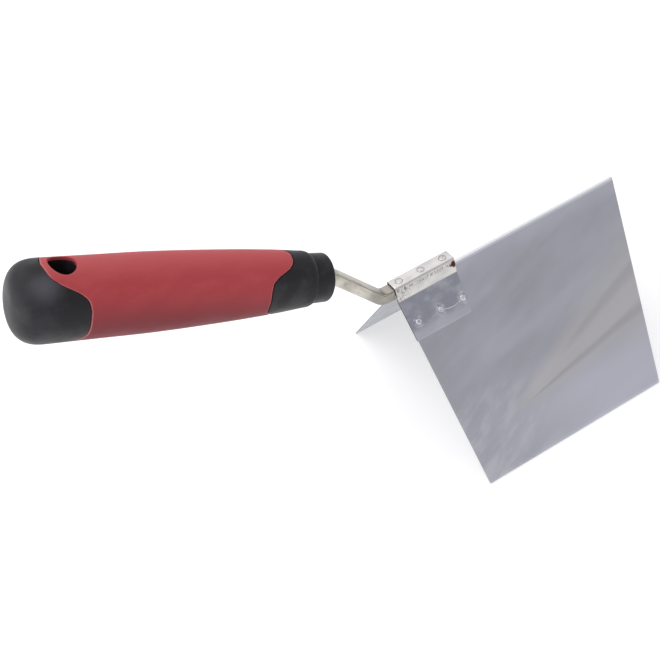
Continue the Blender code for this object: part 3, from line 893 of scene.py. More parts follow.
@dataclass
class Blade:
    """One stainless sheet, folded once into two wings."""

    fold: FoldLine
    length: float = 0.127
    wing_width: float = 0.1016
    sheet: float = 0.0008
    fold_radius: float = 0.0019
    rake: float = math.radians(14.2)
    edge: float = 0.00012
    wave: float = 0.00009             # a flat sheet is never quite flat
    swell_along: float = 2.1          # half waves of the long swell from rear to front
    swell_shift: float = 1.3
    ripple: float = 0.6               # the slanting ripple's share of it
    ripple_along: float = 5.3
    ripple_down: float = 47.0
    rows: int = 72
    wing_columns: int = 44
    fold_columns: int = 10

    def front(self, y: float) -> float:
        """X of the raked front edge at a distance Y from the middle."""
        return self.fold.rear + self.length - abs(y) / math.sin(self.fold.half_angle) * math.tan(self.rake)

    def section(self) -> list[Triple]:
        """The left half of the blade's section.

        Returns:
            Y, Z, and how far down the wing, for each point from the top of the fold down.
        """
        half = self.fold.half_angle
        centre = self.fold.height - self.fold_radius / math.sin(half)
        turn = math.pi / 2 - half
        arc = [(self.fold_radius * math.sin(turn * i / self.fold_columns),
                centre + self.fold_radius * math.cos(turn * i / self.fold_columns), 0.0)
               for i in range(self.fold_columns + 1)]
        flat_from = self.fold_radius / math.tan(half)
        downs = [flat_from + (self.wing_width - flat_from) * i / self.wing_columns
                 for i in range(1, self.wing_columns + 1)]
        return arc + [(*self.fold.wing(down, 0), down) for down in downs]

    def sway(self, along: float, down: float, sign: int) -> float:
        """How far a point of the wing lies off the flat, nothing at its edges.

        Args:
            along: its place from rear to front, from 0 to 1.
            down: how far down the wing it is.
            sign: the side's sign.

        Returns:
            The distance, outwards above 0.
        """
        if not 0 < down < self.wing_width:
            return 0.0
        window = math.sin(math.pi * along) * math.sin(math.pi * down / self.wing_width) ** 2
        swell = math.sin(self.swell_along * math.pi * along + self.swell_shift * sign)
        ripple = self.ripple * math.sin(self.ripple_along * along - self.ripple_down * down)
        return self.wave * window * (swell + ripple)

    def build(self, finish: ColdRolledStainless) -> bpy.types.Object:
        """Makes the blade.

        Args:
            finish: the sheet's finish.

        Returns:
            The blade.
        """
        half = self.section()
        mirrored = [(-y, z, down) for y, z, down in reversed(half[1:])]
        line = [(*point, Side.RIGHT.value) for point in mirrored]
        line += [(*point, Side.LEFT.value) for point in half]
        points = []
        for row in range(self.rows + 1):
            along = row / self.rows
            for y, z, down, sign in line:
                off = self.sway(along, down, sign)
                x = self.fold.rear + (self.front(y) - self.fold.rear) * along
                points.append((x, y + sign * off * math.cos(self.fold.half_angle),
                               z + off * math.sin(self.fold.half_angle)))
        faces = grid_faces(self.rows + 1, len(line), wrap=False)
        piece = new_piece("folded_blade", points, faces)
        add_sheet(piece, self.sheet, self.edge)
        make_solid(piece)
        store_places(piece, self.fold.wing_place)
        dress(piece, finish.build(), ["blade"])
        return piece


@dataclass
class Saddle:
    """A hat section pressed from sheet, over the rear of the fold."""

    fold: FoldLine
    rear: float = -0.0008
    front: float = 0.0319
    sheet: float = 0.0008
    gap: float = 0.0003
    top: float = 0.00465
    web_half_width: float = 0.00375
    foot_half_width: float = 0.0043
    web_bend: float = 0.0012
    foot_bend: float = 0.0007
    flange_reach: float = 0.0256
    flange_clip: float = 0.0025
    edge: float = 0.00012
    rows: int = 40
    bend_steps: int = 8
    flange_steps: int = 14

    def front_edge(self, y: float) -> float:
        """X of the front edge, which runs back a little down the flange.

        Args:
            y: the distance across from the middle.

        Returns:
            X there.
        """
        outer = self.fold.wing(self.flange_reach, self.gap + self.sheet)[0]
        along = max(abs(y) - self.foot_half_width, 0) / (outer - self.foot_half_width)
        return self.fold.rear + self.front - self.flange_clip * along

    def build(self, finish: BrightPlatedSteel) -> bpy.types.Object:
        """Makes the saddle.

        Args:
            finish: the plated sheet's finish.

        Returns:
            The saddle.
        """
        half = self.fold.half_angle
        lift = self.gap + self.sheet
        foot_down = (self.foot_half_width - lift * math.cos(half)) / math.sin(half)
        top = self.fold.height + self.top
        corners = [(0, top), (self.web_half_width, top), self.fold.wing(foot_down, lift),
                   self.fold.wing(self.flange_reach, lift)]
        line = rounded(corners, (self.web_bend, self.foot_bend), self.bend_steps)
        bent, end = line[:-1], line[-1]
        line = bent + [bent[-1].lerp(end, i / self.flange_steps) for i in range(1, self.flange_steps + 1)]
        whole = [(-point.x, point.y) for point in reversed(line[1:])]
        whole += [(point.x, point.y) for point in line]
        rear = self.fold.rear + self.rear
        points = [(rear + (self.front_edge(y) - rear) * row / self.rows, y, z)
                  for row in range(self.rows + 1) for y, z in whole]
        piece = new_piece("saddle_plate", points, grid_faces(self.rows + 1, len(whole), wrap=False))
        add_sheet(piece, self.sheet, self.edge)
        make_solid(piece)
        store_places(piece, self.fold.upright_place)
        dress(piece, finish.build(), ["saddle_bracket"])
        return piece


# ---------------------------------------------------------------- Geometry Nodes

class NodeRecipe:
    """A Geometry Nodes tree that is built step by step, then run once on a piece."""

    def __init__(self, name: str) -> None:
        """Starts the tree with its geometry input and output.

        Args:
            name: the tree's name.
        """
        self.tree = bpy.data.node_groups.new(name, "GeometryNodeTree")
        self.tree.interface.new_socket("Geometry", in_out="INPUT", socket_type="NodeSocketGeometry")
        self.tree.interface.new_socket("Geometry", in_out="OUTPUT", socket_type="NodeSocketGeometry")
        self.entry = self.tree.nodes.new("NodeGroupInput")
        self.exit = self.tree.nodes.new("NodeGroupOutput")
        self.values: dict[str, object] = {}

    def add(self, kind: str, inputs: dict | None = None, **settings) -> bpy.types.Node:
        """Adds a node to the tree."""
        return add_node(self.tree, kind, inputs, **settings)

    def knob(self, name: str, kind: str, value: object) -> bpy.types.NodeSocket:
        """Adds a named input to the tree.

        Args:
            name: the input's name.
            kind: its socket type, without the leading NodeSocket.
            value: what it is set to when the tree runs.

        Returns:
            The socket that gives the value inside the tree.
        """
        socket = self.tree.interface.new_socket(name, in_out="INPUT", socket_type="NodeSocket" + kind)
        self.values[socket.identifier] = value
        return self.entry.outputs[name]

    def run(self, piece: bpy.types.Object, geometry: bpy.types.NodeSocket,
            material: bpy.types.Material) -> bpy.types.Object:
        """Ends the tree, runs it on a piece, and leaves the result as the piece's plain mesh.

        Args:
            piece: the piece whose mesh goes in.
            geometry: the tree's last geometry.
            material: what the result is made of.

        Returns:
            The same object.
        """
        finish = self.knob("Finish", "Material", material)
        real = self.add("GeometryNodeRealizeInstances", {"Geometry": geometry})
        dressed = self.add("GeometryNodeSetMaterial", {"Geometry": real.outputs[0], "Material": finish})
        self.tree.links.new(dressed.outputs[0], self.exit.inputs[0])
        modifier = piece.modifiers.new(self.tree.name, "NODES")
        modifier.node_group = self.tree
        for identifier, value in self.values.items():
            modifier[identifier] = value
        return make_solid(piece)


def bar_on_path(name: str, path: Sequence[Vector], size: Pair, corner: float, bend: float,
                material: bpy.types.Material) -> bpy.types.Object:
    """Sweeps a bar with rounded edges along a line whose corners are bent.

    Args:
        name: the piece's name.
        path: the corners of its middle line, in the plane Y = 0.
        size: its width across that plane, and its thickness in it.
        corner: the radius of its long edges.
        bend: the radius of the middle line at each bend.
        material: what it is made of.

    Returns:
        The bar as a closed mesh.
    """
    recipe = NodeRecipe(name + "_sweep")
    width = recipe.knob("Width", "Float", size[0])
    thickness = recipe.knob("Thickness", "Float", size[1])
    corner_radius = recipe.knob("Edge Radius", "Float", corner)
    bend_radius = recipe.knob("Bend Radius", "Float", bend)
    line = recipe.add("GeometryNodeMeshToCurve", {"Mesh": recipe.entry.outputs[0]})
    bent = recipe.add("GeometryNodeFilletCurve", {"Curve": line.outputs[0], "Radius": bend_radius,
                                                  "Count": BEND_STEPS, "Limit Radius": True}, mode="POLY")
    upright = recipe.add("GeometryNodeSetCurveNormal", {"Curve": bent.outputs[0]}, mode="Z_UP")
    outline = recipe.add("GeometryNodeCurvePrimitiveQuadrilateral", {"Width": width, "Height": thickness})
    soft = recipe.add("GeometryNodeFilletCurve", {"Curve": outline.outputs[0], "Radius": corner_radius,
                                                  "Count": EDGE_STEPS}, mode="POLY")
    swept = recipe.add("GeometryNodeCurveToMesh", {"Curve": upright.outputs[0],
                                                   "Profile Curve": soft.outputs[0], "Fill Caps": True})
    piece = new_piece(name, path, [], [(i, i + 1) for i in range(len(path) - 1)])
    return recipe.run(piece, swept.outputs[0], material)


@dataclass(frozen=True)
class WeldShape:
    """One spot weld: a low button inside a pressed ring."""

    ring_radius: float
    ring_wire: float
    button_radius: float
    button_height: float


@dataclass
class WeldRow:
    """A row of spot welds of one shape, a little uneven in size."""

    name: str
    start: Vector
    pitch: Vector
    tilt: float
    count: int
    shape: WeldShape
    seed: int
    sizes: Pair = (0.93, 1.07)
    segments: int = 36
    button_rings: int = 16
    wire_segments: int = 10

    def build(self, material: bpy.types.Material, nodes: Sequence[str]) -> bpy.types.Object:
        """Makes the row.

        Args:
            material: the weld metal.
            nodes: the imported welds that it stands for.

        Returns:
            The row as one mesh.
        """
        recipe = NodeRecipe(self.name + "_row")
        count = recipe.knob("Count", "Int", self.count)
        start = recipe.knob("Start", "Vector", tuple(self.start))
        pitch = recipe.knob("Pitch", "Vector", tuple(self.pitch))
        tilt = recipe.knob("Tilt", "Vector", (self.tilt, 0.0, 0.0))
        ring_radius = recipe.knob("Ring Radius", "Float", self.shape.ring_radius)
        ring_wire = recipe.knob("Ring Wire Radius", "Float", self.shape.ring_wire)
        width, height = self.shape.button_radius, self.shape.button_height
        button_size = recipe.knob("Button Size", "Vector", (width, width, height))
        seed = recipe.knob("Seed", "Int", self.seed)

        circle = recipe.add("GeometryNodeCurvePrimitiveCircle",
                            {"Resolution": self.segments, "Radius": ring_radius})
        wire = recipe.add("GeometryNodeCurvePrimitiveCircle",
                          {"Resolution": self.wire_segments, "Radius": ring_wire})
        ring = recipe.add("GeometryNodeCurveToMesh",
                          {"Curve": circle.outputs[0], "Profile Curve": wire.outputs[0]})
        ball = recipe.add("GeometryNodeMeshUVSphere",
                          {"Segments": self.segments, "Rings": self.button_rings, "Radius": 1.0})
        button = recipe.add("GeometryNodeTransform",
                            {"Geometry": ball.outputs["Mesh"], "Scale": button_size})
        weld = recipe.add("GeometryNodeJoinGeometry")
        for part in (ring, button):
            recipe.tree.links.new(part.outputs[0], weld.inputs[0])

        seats = recipe.add("GeometryNodeMeshLine",
                           {"Count": count, "Start Location": start, "Offset": pitch})
        number = recipe.add("GeometryNodeInputIndex")
        smallest, largest = self.sizes
        vary = recipe.add("FunctionNodeRandomValue",
                          {2: smallest, 3: largest, "ID": number.outputs[0], "Seed": seed},
                          data_type="FLOAT")
        placed = recipe.add("GeometryNodeInstanceOnPoints", {"Points": seats.outputs[0],
                                                             "Instance": weld.outputs[0], "Rotation": tilt,
                                                             "Scale": vary.outputs[1]})
        piece = new_piece(self.name, [], [])
        recipe.run(piece, placed.outputs[0], material)
        store_places(piece, self.weld_place)
        dress(piece, material, nodes, smooth_below=50)
        return piece

    def weld_place(self, point: Vector) -> Triple:
        """Where a point lies on its weld.

        Args:
            point: a point of the row.

        Returns:
            Millimetres out from the middle of the nearest weld, then its number, then 0.
        """
        arms = [(point - self.start - self.pitch * number).length for number in range(self.count)]
        nearest = min(arms)
        return (nearest / MM, float(arms.index(nearest)), 0.0)


@dataclass
class Welds:
    """All the spot welds: one row down through the saddle's web, and one through each flange."""

    fold: FoldLine
    saddle: Saddle
    web_from: float = 0.0036
    web_pitch: float = 0.0120
    flange_from: float = 0.0040
    flange_pitch: float = 0.0124
    flange_down: float = 0.0176
    count: int = 3
    ground: WeldShape = WeldShape(ring_radius=0.0017, ring_wire=0.00013, button_radius=0.0013,
                                  button_height=0.0001)
    raw: WeldShape = WeldShape(ring_radius=0.0018, ring_wire=0.00012, button_radius=0.0014,
                               button_height=0.00048)
    web_seed: int = 3
    flange_seed: int = 5

    def build(self, web_finish: SpotWeldMetal, flange_finish: SpotWeldMetal) -> list[bpy.types.Object]:
        """Makes the three rows.

        Args:
            web_finish: the finish of the ground-down welds on the web.
            flange_finish: the finish of the raw ones on the flanges.

        Returns:
            The rows.
        """
        numbers = range(1, self.count + 1)
        start = Vector((self.fold.rear + self.web_from, 0, self.fold.height + self.saddle.top))
        web = WeldRow("web_weld_marks", start, Vector((self.web_pitch, 0, 0)), 0.0, self.count,
                      self.ground, self.web_seed)
        rows = [web.build(web_finish.build(), [f"web_weld_{n}" for n in numbers])]
        y, z = self.fold.wing(self.flange_down, self.saddle.gap + self.saddle.sheet)
        lean = math.pi / 2 - self.fold.half_angle
        material = flange_finish.build()
        for side in Side:
            name = side.name.lower()
            start = Vector((self.fold.rear + self.flange_from, side.value * y, z))
            row = WeldRow(f"{name}_flange_dimples", start, Vector((self.flange_pitch, 0, 0)),
                          -side.value * lean, self.count, self.raw, self.flange_seed + side.value)
            rows.append(row.build(material, [f"{name}_flange_weld_{n}" for n in numbers]))
        return rows


# ---------------------------------------------------------------- tang and handle

@dataclass(frozen=True)
class HandleAxis:
    """The handle's own directions, from the middle of its nose."""

    nose: Vector
    rise: float

    @property
    def backward(self) -> Vector:
        """Along the handle, from nose to butt."""
        return Vector((-math.cos(self.rise), 0, math.sin(self.rise)))

    @property
    def upward(self) -> Vector:
        """Out of the crown of the grip."""
        return Vector((math.sin(self.rise), 0, math.cos(self.rise)))

    def point(self, at: float, out: float, across: float) -> Vector:
        """A point that far along the handle, out towards the crown, and across to the left."""
        return self.nose + self.backward * at + self.upward * out + Vector((0, across, 0))

    def ring_point(self, at: float, radius: float, angle: float) -> Vector:
        """A point on a circle about the handle's axis, with the angle from the crown."""
        return self.point(at, radius * math.cos(angle), radius * math.sin(angle))

    def local(self, point: Vector) -> Triple:
        """Where a point lies about the handle's axis.

        Args:
            point: a point of the handle.

        Returns:
            Its distance from the nose, its radius, and its angle from the crown.
        """
        arm = point - self.nose
        out = arm.dot(self.upward)
        return arm.dot(self.backward), math.hypot(out, point.y), math.atan2(point.y, out)


@dataclass
class Tang:
    """A square bar with two bends, narrower where it runs under the saddle."""

    fold: FoldLine
    axis: HandleAxis
    saddle: Saddle
    thickness: float = 0.0057
    width: float = 0.0063
    width_in_saddle: float = 0.0053
    edge: float = 0.00055
    buried: float = 0.022             # how far into the handle the bar is drawn, out of sight
    toe: float = 0.0310
    sole: float = 0.0007              # how far under the sharp fold line the foot reaches
    foot_overlap: float = 0.001       # how far the foot starts inside the bar
    knee_out: float = 0.0048
    bend: float = 0.0055
    leg_fall: float = math.radians(52)
    step: float = -0.0010

    def build(self, finish: DrawnBarSteel) -> bpy.types.Object:
        """Makes the tang.

        Args:
            finish: the bar's finish.

        Returns:
            The tang.
        """
        material = finish.build()
        top = self.fold.height + self.saddle.top - self.saddle.sheet - self.saddle.gap
        middle = top - self.thickness / 2
        knee = self.axis.point(-self.knee_out, 0, 0)
        heel = Vector((knee.x + (knee.z - middle) / math.tan(self.leg_fall), 0, middle))
        step = Vector((self.fold.rear + self.step, 0, middle))
        buried_end = self.axis.point(self.buried, 0, 0)
        bar = bar_on_path("cranked_tang", [buried_end, knee, heel, step],
                          (self.width, self.thickness), self.edge, self.bend, material)
        sole = self.fold.height - self.sole
        level = (top + sole) / 2
        foot = bar_on_path("tang_foot", [Vector((step.x - self.foot_overlap, 0, level)),
                                         Vector((self.fold.rear + self.toe, 0, level))],
                           (self.width_in_saddle, top - sole), self.edge, self.bend, material)
        bm = bmesh.new()
        for part in (bar, foot):
            bm.from_mesh(part.data)
        bm.to_mesh(bar.data)
        bm.free()
        bpy.data.objects.remove(foot)
        path = [buried_end, knee, heel, Vector((self.fold.rear + self.toe, 0, middle))]
        store_places(bar, lambda point: self.bar_place(path, point))
        dress(bar, material, ["tang"], smooth_below=50)
        return bar

    @staticmethod
    def bar_place(path: Sequence[Vector], point: Vector) -> Triple:
        """Millimetres along the bar, across it, and above its middle line.

        Args:
            path: the corners of the bar's middle line.
            point: a point of the bar.

        Returns:
            Its place on the bar.
        """
        run, found = 0.0, []
        flat = Vector((point.x, 0, point.z))
        for start, end in zip(path, path[1:]):
            along = end - start
            share = min(max((flat - start).dot(along) / along.length_squared, 0), 1)
            away = flat - (start + along * share)
            found.append((away.length, run + share * along.length, math.copysign(away.length, away.z)))
            run += along.length
        _, at, rise = min(found)
        return (at / MM, point.y / MM, rise / MM)


@dataclass
class Handle:
    """The outer form that the hard core and the soft grip share."""

    axis: HandleAxis
    nose_length: float = 0.0086
    nose_radius: float = 0.0108
    nose_edge: float = 0.0009
    nose_swell: float = 0.00025
    shoulder_length: float = 0.0032
    curve: tuple[Pair, ...] = ((0.0121, 0.0124), (0.0260, 0.0137), (0.0494, 0.0151),
                               (0.0800, 0.0162), (0.1040, 0.0163), (0.1231, 0.0164))
    dome_length: float = 0.0133
    dome_power: float = 2.8
    grip_skin: float = 0.0014
    skin_gap: float = 0.0003
    grip_front: float = 0.0325
    grip_rear: float = 0.1090
    front_tongue: float = 0.0134
    rear_tongue: float = 0.0158
    under_tongue: float = 0.4
    tongue_edge: tuple[Pair, ...] = ((0, 1.0), (25, 0.89), (37, 0.70), (45, 0.47),
                                     (52, 0.26), (62, 0.07), (76, 0.0))
    seam: float = 0.00035
    lip: float = 0.00045
    hole_at: float = 0.1166
    hole_half_length: float = 0.0053
    hole_half_width: float = 0.0066
    hole_lip: float = 0.0004
    hole_beyond: float = 0.004        # how far the cutter stands out of the surface
    columns: int = 160
    hole_columns: int = 72
    hole_lip_rows: int = 7
    face_rings: tuple[float, ...] = (0.35, 0.7, 1.0)    # radii on the nose's face, as shares of its own
    collar_rings: tuple[float, ...] = (0.3, 0.6, 1.0)   # places along the collar, as shares of its length
    rim_rows: int = 8
    shoulder_rows: int = 9
    front_rows: int = 15
    groove_rows: int = 12
    butt_rows: int = 48
    core_lip_rows: int = 4
    grip_lip_rows: int = 6
    grip_rows: int = 64
    skin_rows: int = 14
    straight_samples: int = 60        # points that the even spacing of the butt is worked out from
    dome_samples: int = 120

    @staticmethod
    def through(stations: Sequence[Pair], x: float) -> float:
        """Reads a smooth curve through stations, level beyond its ends.

        Args:
            stations: pairs of place and value.
            x: the place to read it at.

        Returns:
            The value there.
        """
        if x <= stations[0][0]:
            return stations[0][1]
        if x >= stations[-1][0]:
            return stations[-1][1]
        after = next(i for i, station in enumerate(stations) if station[0] >= x)
        (x0, y0), (x1, y1) = stations[after - 1], stations[after]

        def slope(i: int) -> float:
            """The curve's slope at a station."""
            (xa, ya), (xb, yb) = stations[max(i - 1, 0)], stations[min(i + 1, len(stations) - 1)]
            return (yb - ya) / (xb - xa)

        span = x1 - x0
        t = (x - x0) / span
        return ((2 * t ** 3 - 3 * t ** 2 + 1) * y0 + (t ** 3 - 2 * t ** 2 + t) * span * slope(after - 1)
                + (3 * t ** 2 - 2 * t ** 3) * y1 + (t ** 3 - t ** 2) * span * slope(after))

    @property
    def length(self) -> float:
        """From the nose's face to the end of the butt."""
        return self.curve[-1][0] + self.dome_length

    def radius(self, at: float) -> float:
        """The outer radius of the handle.

        Args:
            at: the distance from the nose's face.

        Returns:
            The radius there.
        """
        rim, widest = self.curve[-1]
        if at >= rim:
            share = min((at - rim) / self.dome_length, 1.0)
            return widest * (1 - share ** self.dome_power) ** (1 / self.dome_power)
        if at >= self.curve[0][0]:
            return self.through(self.curve, at)
        collar = self.nose_radius + self.nose_swell * at / self.nose_length
        if at >= self.nose_length:
            shoulder = self.nose_radius + self.nose_swell
            share = min((at - self.nose_length) / self.shoulder_length, 1.0)
            return shoulder + (self.curve[0][1] - shoulder) * math.sqrt(1 - (1 - share) ** 2)
        if at < self.nose_edge:
            return collar - self.nose_edge + math.sqrt(self.nose_edge ** 2 - (self.nose_edge - at) ** 2)
        return collar

    def tongue(self, angle: float) -> float:
        """How far the grip's edge reaches out.

        Args:
            angle: the angle from the crown.

        Returns:
            1 at the crown and 0 at the sides.
        """
        from_crown = abs((math.degrees(angle) + 180) % 360 - 180)
        over = self.through(self.tongue_edge, from_crown)
        return over + self.under_tongue * self.through(self.tongue_edge, 180 - from_crown)

    def grip_ends(self, angle: float) -> Pair:
        """Where the soft grip starts and ends at an angle from the crown."""
        reach = self.tongue(angle)
        return self.grip_front - self.front_tongue * reach, self.grip_rear + self.rear_tongue * reach

    def angles(self) -> list[float]:
        """The angle of each column of points."""
        return [2 * math.pi * column / self.columns for column in range(self.columns)]

    def to_pole(self, start: float, rows: int) -> list[Pair]:
        """Evenly spaced points of the outline from a start to the end of the butt.

        Args:
            start: the distance from the nose.
            rows: how many steps.

        Returns:
            Distance and radius of each point, the last on the axis.
        """
        rim = self.curve[-1][0]
        straight = np.array([])
        if start < rim:
            straight = np.linspace(start, rim, self.straight_samples, endpoint=False)
        first = math.asin(max((start - rim) / self.dome_length, 0.0) ** (self.dome_power / 2))
        bows = np.linspace(first, math.pi / 2, self.dome_samples)
        at = np.concatenate([straight, rim + self.dome_length * np.sin(bows) ** (2 / self.dome_power)])
        radii = np.array([self.radius(x) for x in at])
        run = np.concatenate([[0], np.cumsum(np.hypot(np.diff(at), np.diff(radii)))])
        even = np.linspace(0, run[-1], rows + 1)
        return list(zip(np.interp(even, run, at), np.interp(even, run, radii)))

    def rolled_edge(self, edge: float, side: int, bends: Sequence[float]) -> list[Pair]:
        """The arc by which a piece's outer surface turns down at its edge.

        Args:
            edge: where the piece ends, from the nose.
            side: 1 where the piece lies behind its edge, and -1 where it lies in front of it.
            bends: how far each point has turned, from the surface down.

        Returns:
            Distance and radius of each point.
        """
        radius = self.radius(edge)
        return [(edge + side * self.lip * (1 - math.sin(a)), radius - self.lip * (1 - math.cos(a)))
                for a in bends]

    def hole_cutter(self, below_crown: float) -> bpy.types.Object:
        """An oval bar through the butt that flares where it comes out, so that it leaves a rounded rim.

        Args:
            below_crown: how deep the rim at the crown lies under the handle's outer surface.

        Returns:
            The cutter.
        """
        flare = [(self.hole_lip * (1 - math.cos(a)), self.hole_lip * (1 - math.sin(a)))
                 for a in np.linspace(0, math.pi / 2, self.hole_lip_rows)]
        steps = flare + [(self.hole_lip, -self.hole_beyond)]
        levels = [(-1, *step) for step in reversed(steps)] + [(1, *step) for step in steps]
        around = np.linspace(0, 2 * math.pi, self.hole_columns, endpoint=False)
        points = []
        for sign, spread, depth in levels:
            for a in around:
                normal = Vector((math.cos(a) / self.hole_half_length, math.sin(a) / self.hole_half_width))
                normal.normalize()
                at = self.hole_at + self.hole_half_length * math.cos(a) + normal.x * spread
                across = self.hole_half_width * math.sin(a) + normal.y * spread
                surface = math.sqrt(self.radius(at) ** 2 - across ** 2)
                sunk = below_crown if sign > 0 else 0.0
                points.append(self.axis.point(at, sign * (surface - sunk - depth), across))
        faces: list = grid_faces(len(levels), len(around), wrap=True)
        faces += [tuple(range(len(around))),
                  tuple(len(points) - 1 - i for i in range(len(around)))]
        return make_solid(new_piece("hang_hole", points, faces))

    def socket_cutter(self, tang: Tang) -> bpy.types.Object:
        """A square bar for the socket that the tang goes into.

        Args:
            tang: the bar that the socket clears.

        Returns:
            The cutter.
        """
        clear = tang.saddle.gap
        half = (tang.thickness / 2 + clear, tang.width / 2 + clear)
        ends = (-tang.knee_out, tang.buried + clear)
        corners = ((-1, -1), (1, -1), (1, 1), (-1, 1))
        points = [self.axis.point(at, a * half[0], b * half[1]) for at in ends for a, b in corners]
        faces: list = grid_faces(len(ends), len(corners), wrap=True) + [(3, 2, 1, 0), (4, 5, 6, 7)]
        return make_solid(new_piece("tang_socket", points, faces))

    def build_core(self, tang: Tang, finish: MouldedPolypropylene) -> bpy.types.Object:
        """Makes the hard core, with a groove along the soft grip's edge.

        Args:
            tang: the bar whose socket it has.
            finish: the plastic's finish.

        Returns:
            The core.
        """
        pocket = self.grip_skin + self.skin_gap
        face = [(0.0, self.radius(0) * share) for share in self.face_rings]
        rim = [self.nose_edge * (1 - math.cos(a)) for a in np.linspace(0, math.pi / 2, self.rim_rows)[1:]]
        collar_length = self.nose_length - self.nose_edge
        collar = [self.nose_edge + collar_length * share for share in self.collar_rings]
        shoulder = [self.nose_length + self.shoulder_length * (1 - math.cos(a))
                    for a in np.linspace(0, math.pi / 2, self.shoulder_rows)[1:]]
        fixed = face + [(at, self.radius(at)) for at in rim + collar + shoulder]
        bends = np.linspace(0, math.pi / 2, self.core_lip_rows)[1:]
        columns = []
        for angle in self.angles():
            front, rear = self.grip_ends(angle)
            front, rear = front - self.seam, rear + self.seam
            line = list(fixed)
            reach = np.linspace(fixed[-1][0], front - self.lip, self.front_rows)[1:]
            line += [(at, self.radius(at)) for at in reach]
            line += self.rolled_edge(front, -1, bends)
            line += [(at, self.radius(at) - pocket) for at in np.linspace(front, rear, self.groove_rows)]
            line += reversed(self.rolled_edge(rear, 1, bends))
            line += self.to_pole(rear + self.lip, self.butt_rows)[:-1]
            columns.append([self.axis.ring_point(at, radius, angle) for at, radius in line])
        rows = len(columns[0])
        points = [columns[c][r] for r in range(rows) for c in range(self.columns)]
        faces: list = grid_faces(rows, self.columns, wrap=True)
        nose, butt = len(points), len(points) + 1
        points += [self.axis.point(0, 0, 0), self.axis.point(self.length, 0, 0)]
        last = (rows - 1) * self.columns
        for c in range(self.columns):
            after = (c + 1) % self.columns
            faces += [(nose, after, c), (butt, last + c, last + after)]
        piece = make_solid(new_piece("moulded_core", points, faces))
        cut(piece, self.hole_cutter(pocket))
        cut(piece, self.socket_cutter(tang))
        store_places(piece, self.core_place)
        dress(piece, finish.build(), ["handle_core"])
        return piece

    def build_grip(self, finish: SoftGripElastomer) -> bpy.types.Object:
        """Makes the soft grip, a skin with rolled edges.

        Args:
            finish: the soft material's finish.

        Returns:
            The grip.
        """
        bends = np.linspace(0, math.pi / 2, self.grip_lip_rows)[1:]
        columns = []
        for angle in self.angles():
            front, rear = self.grip_ends(angle)
            outer = np.linspace(front + self.lip, rear - self.lip, self.grip_rows)
            inner = np.linspace(rear, front, self.skin_rows)
            line = [(at, self.radius(at)) for at in outer]
            line += self.rolled_edge(rear, -1, bends)
            line += [(at, self.radius(at) - self.grip_skin) for at in inner]
            line += reversed(self.rolled_edge(front, 1, bends))
            columns.append([self.axis.ring_point(at, radius, angle) for at, radius in line])
        rows = len(columns[0])
        points = [point for column in columns for point in column]
        faces = []
        for c in range(self.columns):
            here, beside = c * rows, ((c + 1) % self.columns) * rows
            faces += [(here + r, here + (r + 1) % rows, beside + (r + 1) % rows, beside + r)
                      for r in range(rows)]
        piece = make_solid(new_piece("soft_grip", points, faces))
        cut(piece, self.hole_cutter(0.0))
        store_places(piece, self.grip_place)
        dress(piece, finish.build(), ["grip_sleeve"])
        return piece

    def core_place(self, point: Vector) -> Triple:
        """Millimetres along the handle and around it from the crown, then 0."""
        at, radius, angle = self.axis.local(point)
        return (at / MM, radius * angle / MM, 0.0)

    def grip_place(self, point: Vector) -> Triple:
        """Where a point lies on the grip.

        Args:
            point: a point of the grip.

        Returns:
            Millimetres along the handle, around it from the crown, and in from the grip's nearest edge.
        """
        at, radius, angle = self.axis.local(point)
        front, rear = self.grip_ends(angle)
        return (at / MM, radius * angle / MM, min(at - front, rear - at) / MM)


# ---------------------------------------------------------------- studio

@dataclass(frozen=True)
class SoftBox:
    """A rectangular light: which way it lies from the tool, how far, its size, and its watts."""

    name: str
    towards: Triple
    distance: float
    size: Pair
    watts: float


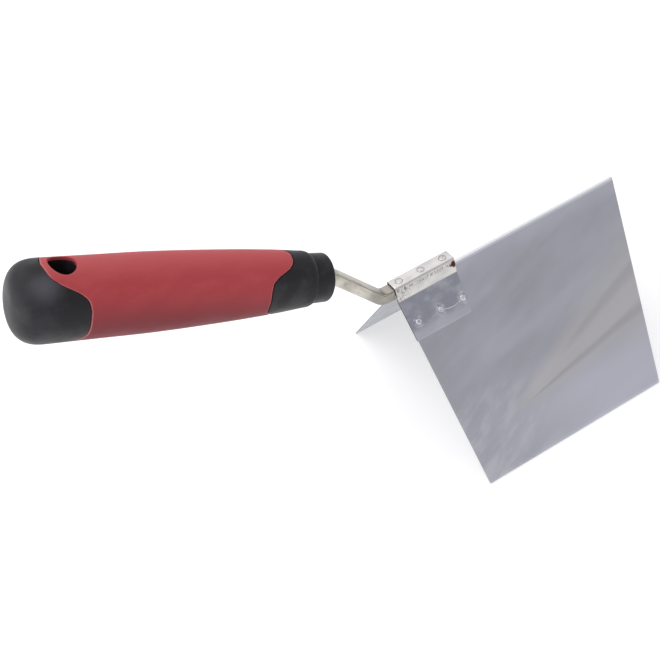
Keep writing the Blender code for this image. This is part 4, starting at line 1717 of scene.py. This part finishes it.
@dataclass
class Studio:
    """A pale light table, three soft boxes, and the camera."""

    eye: Triple = (-0.1235, -0.3207, 0.3914)
    right: Triple = (0.8587, -0.4722, -0.1989)
    up: Triple = (0.4609, 0.5421, 0.7026)
    lens_mm: float = 54.98
    sensor_mm: float = 36.0
    nearest: float = 0.01             # the closest thing that the camera shows
    floor_size: float = 60.0          # so wide that its edge lies at the horizon
    air: str = "#CFCFD4"
    air_strength: float = 1.0
    lights: tuple[SoftBox, ...] = (
        SoftBox("overhead_softbox", (-0.35, 0.25, 1.0), 1.6, (1.8, 1.8), 11.0),
        SoftBox("rear_softbox", (0.2, 0.75, 0.65), 1.6, (2.0, 1.5), 5.0),
        SoftBox("left_strip", (-1.0, -0.08, 0.3), 1.2, (1.4, 0.5), 4.0))

    def add_camera(self) -> None:
        """Places the camera by its right and up directions."""
        data = bpy.data.cameras.new("camera")
        data.lens = self.lens_mm
        data.sensor_width = self.sensor_mm
        data.clip_start = self.nearest
        camera = new_object("camera", data)
        right = Vector(self.right).normalized()
        back = right.cross(Vector(self.up)).normalized()
        turn = Matrix((right, back.cross(right), back)).transposed()
        camera.matrix_world = Matrix.Translation(self.eye) @ turn.to_4x4()
        bpy.context.scene.camera = camera

    def add_light(self, box: SoftBox, target: Vector) -> None:
        """Adds a soft box that faces the tool.

        Args:
            box: the light.
            target: the point that it faces.
        """
        data = bpy.data.lights.new(box.name, "AREA")
        data.shape = "RECTANGLE"
        data.size, data.size_y = box.size
        data.energy = box.watts
        light = new_object(box.name, data)
        direction = Vector(box.towards).normalized()
        light.location = target + direction * box.distance
        light.rotation_euler = direction.to_track_quat("Z", "Y").to_euler()

    def add_floor(self, finish: OpalAcrylic) -> None:
        """Lays the light table's top under the blade's edges.

        Args:
            finish: the top's finish.
        """
        half = self.floor_size / 2
        corners = [(-half, -half, 0), (half, -half, 0), (half, half, 0), (-half, half, 0)]
        floor = new_piece("light_table_top", corners, [(0, 1, 2, 3)])
        floor.data.materials.append(finish.build())
        floor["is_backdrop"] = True

    def build(self, target: Vector) -> None:
        """Sets up the floor, the air's glow, the lights and the camera.

        Args:
            target: the middle of the tool.
        """
        scene = bpy.context.scene
        scene.view_settings.view_transform = "Standard"
        world = bpy.data.worlds.new("studio_air")
        world.use_nodes = True
        glow = world.node_tree.nodes["Background"]
        glow.inputs["Color"].default_value = linear(self.air)
        glow.inputs["Strength"].default_value = self.air_strength
        scene.world = world
        self.add_floor(OpalAcrylic())
        for box in self.lights:
            self.add_light(box, target)
        self.add_camera()


# ---------------------------------------------------------------- assembly

def main() -> None:
    """Builds the tool around the frame, then the studio around the imported parts' box."""
    logging.basicConfig(level=logging.INFO, format="%(name)s: %(message)s")
    for old in list(bpy.data.objects):
        bpy.data.objects.remove(old)
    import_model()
    packed_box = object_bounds()

    fold = FoldLine.from_blade(HALF_ANGLE, Blade.fold_radius)
    axis = HandleAxis(Vector((fold.rear - NOSE_BEHIND, 0, fold.height + NOSE_ABOVE)), HANDLE_RISE)
    blade = Blade(fold)
    saddle = Saddle(fold)
    tang = Tang(fold, axis, saddle)
    handle = Handle(axis)
    blade.build(ColdRolledStainless())
    saddle.build(BrightPlatedSteel())
    ground = SpotWeldMetal(name="ground_weld_metal", bright="#CFCDC9", blued="#77746F", ring_strength=0.9)
    Welds(fold, saddle).build(ground, SpotWeldMetal())
    tang.build(DrawnBarSteel())
    handle.build_core(tang, MouldedPolypropylene())
    handle.build_grip(SoftGripElastomer())
    low, high = packed_box
    Studio().build((low + high) / 2)


if __name__ == "__main__":
    main()
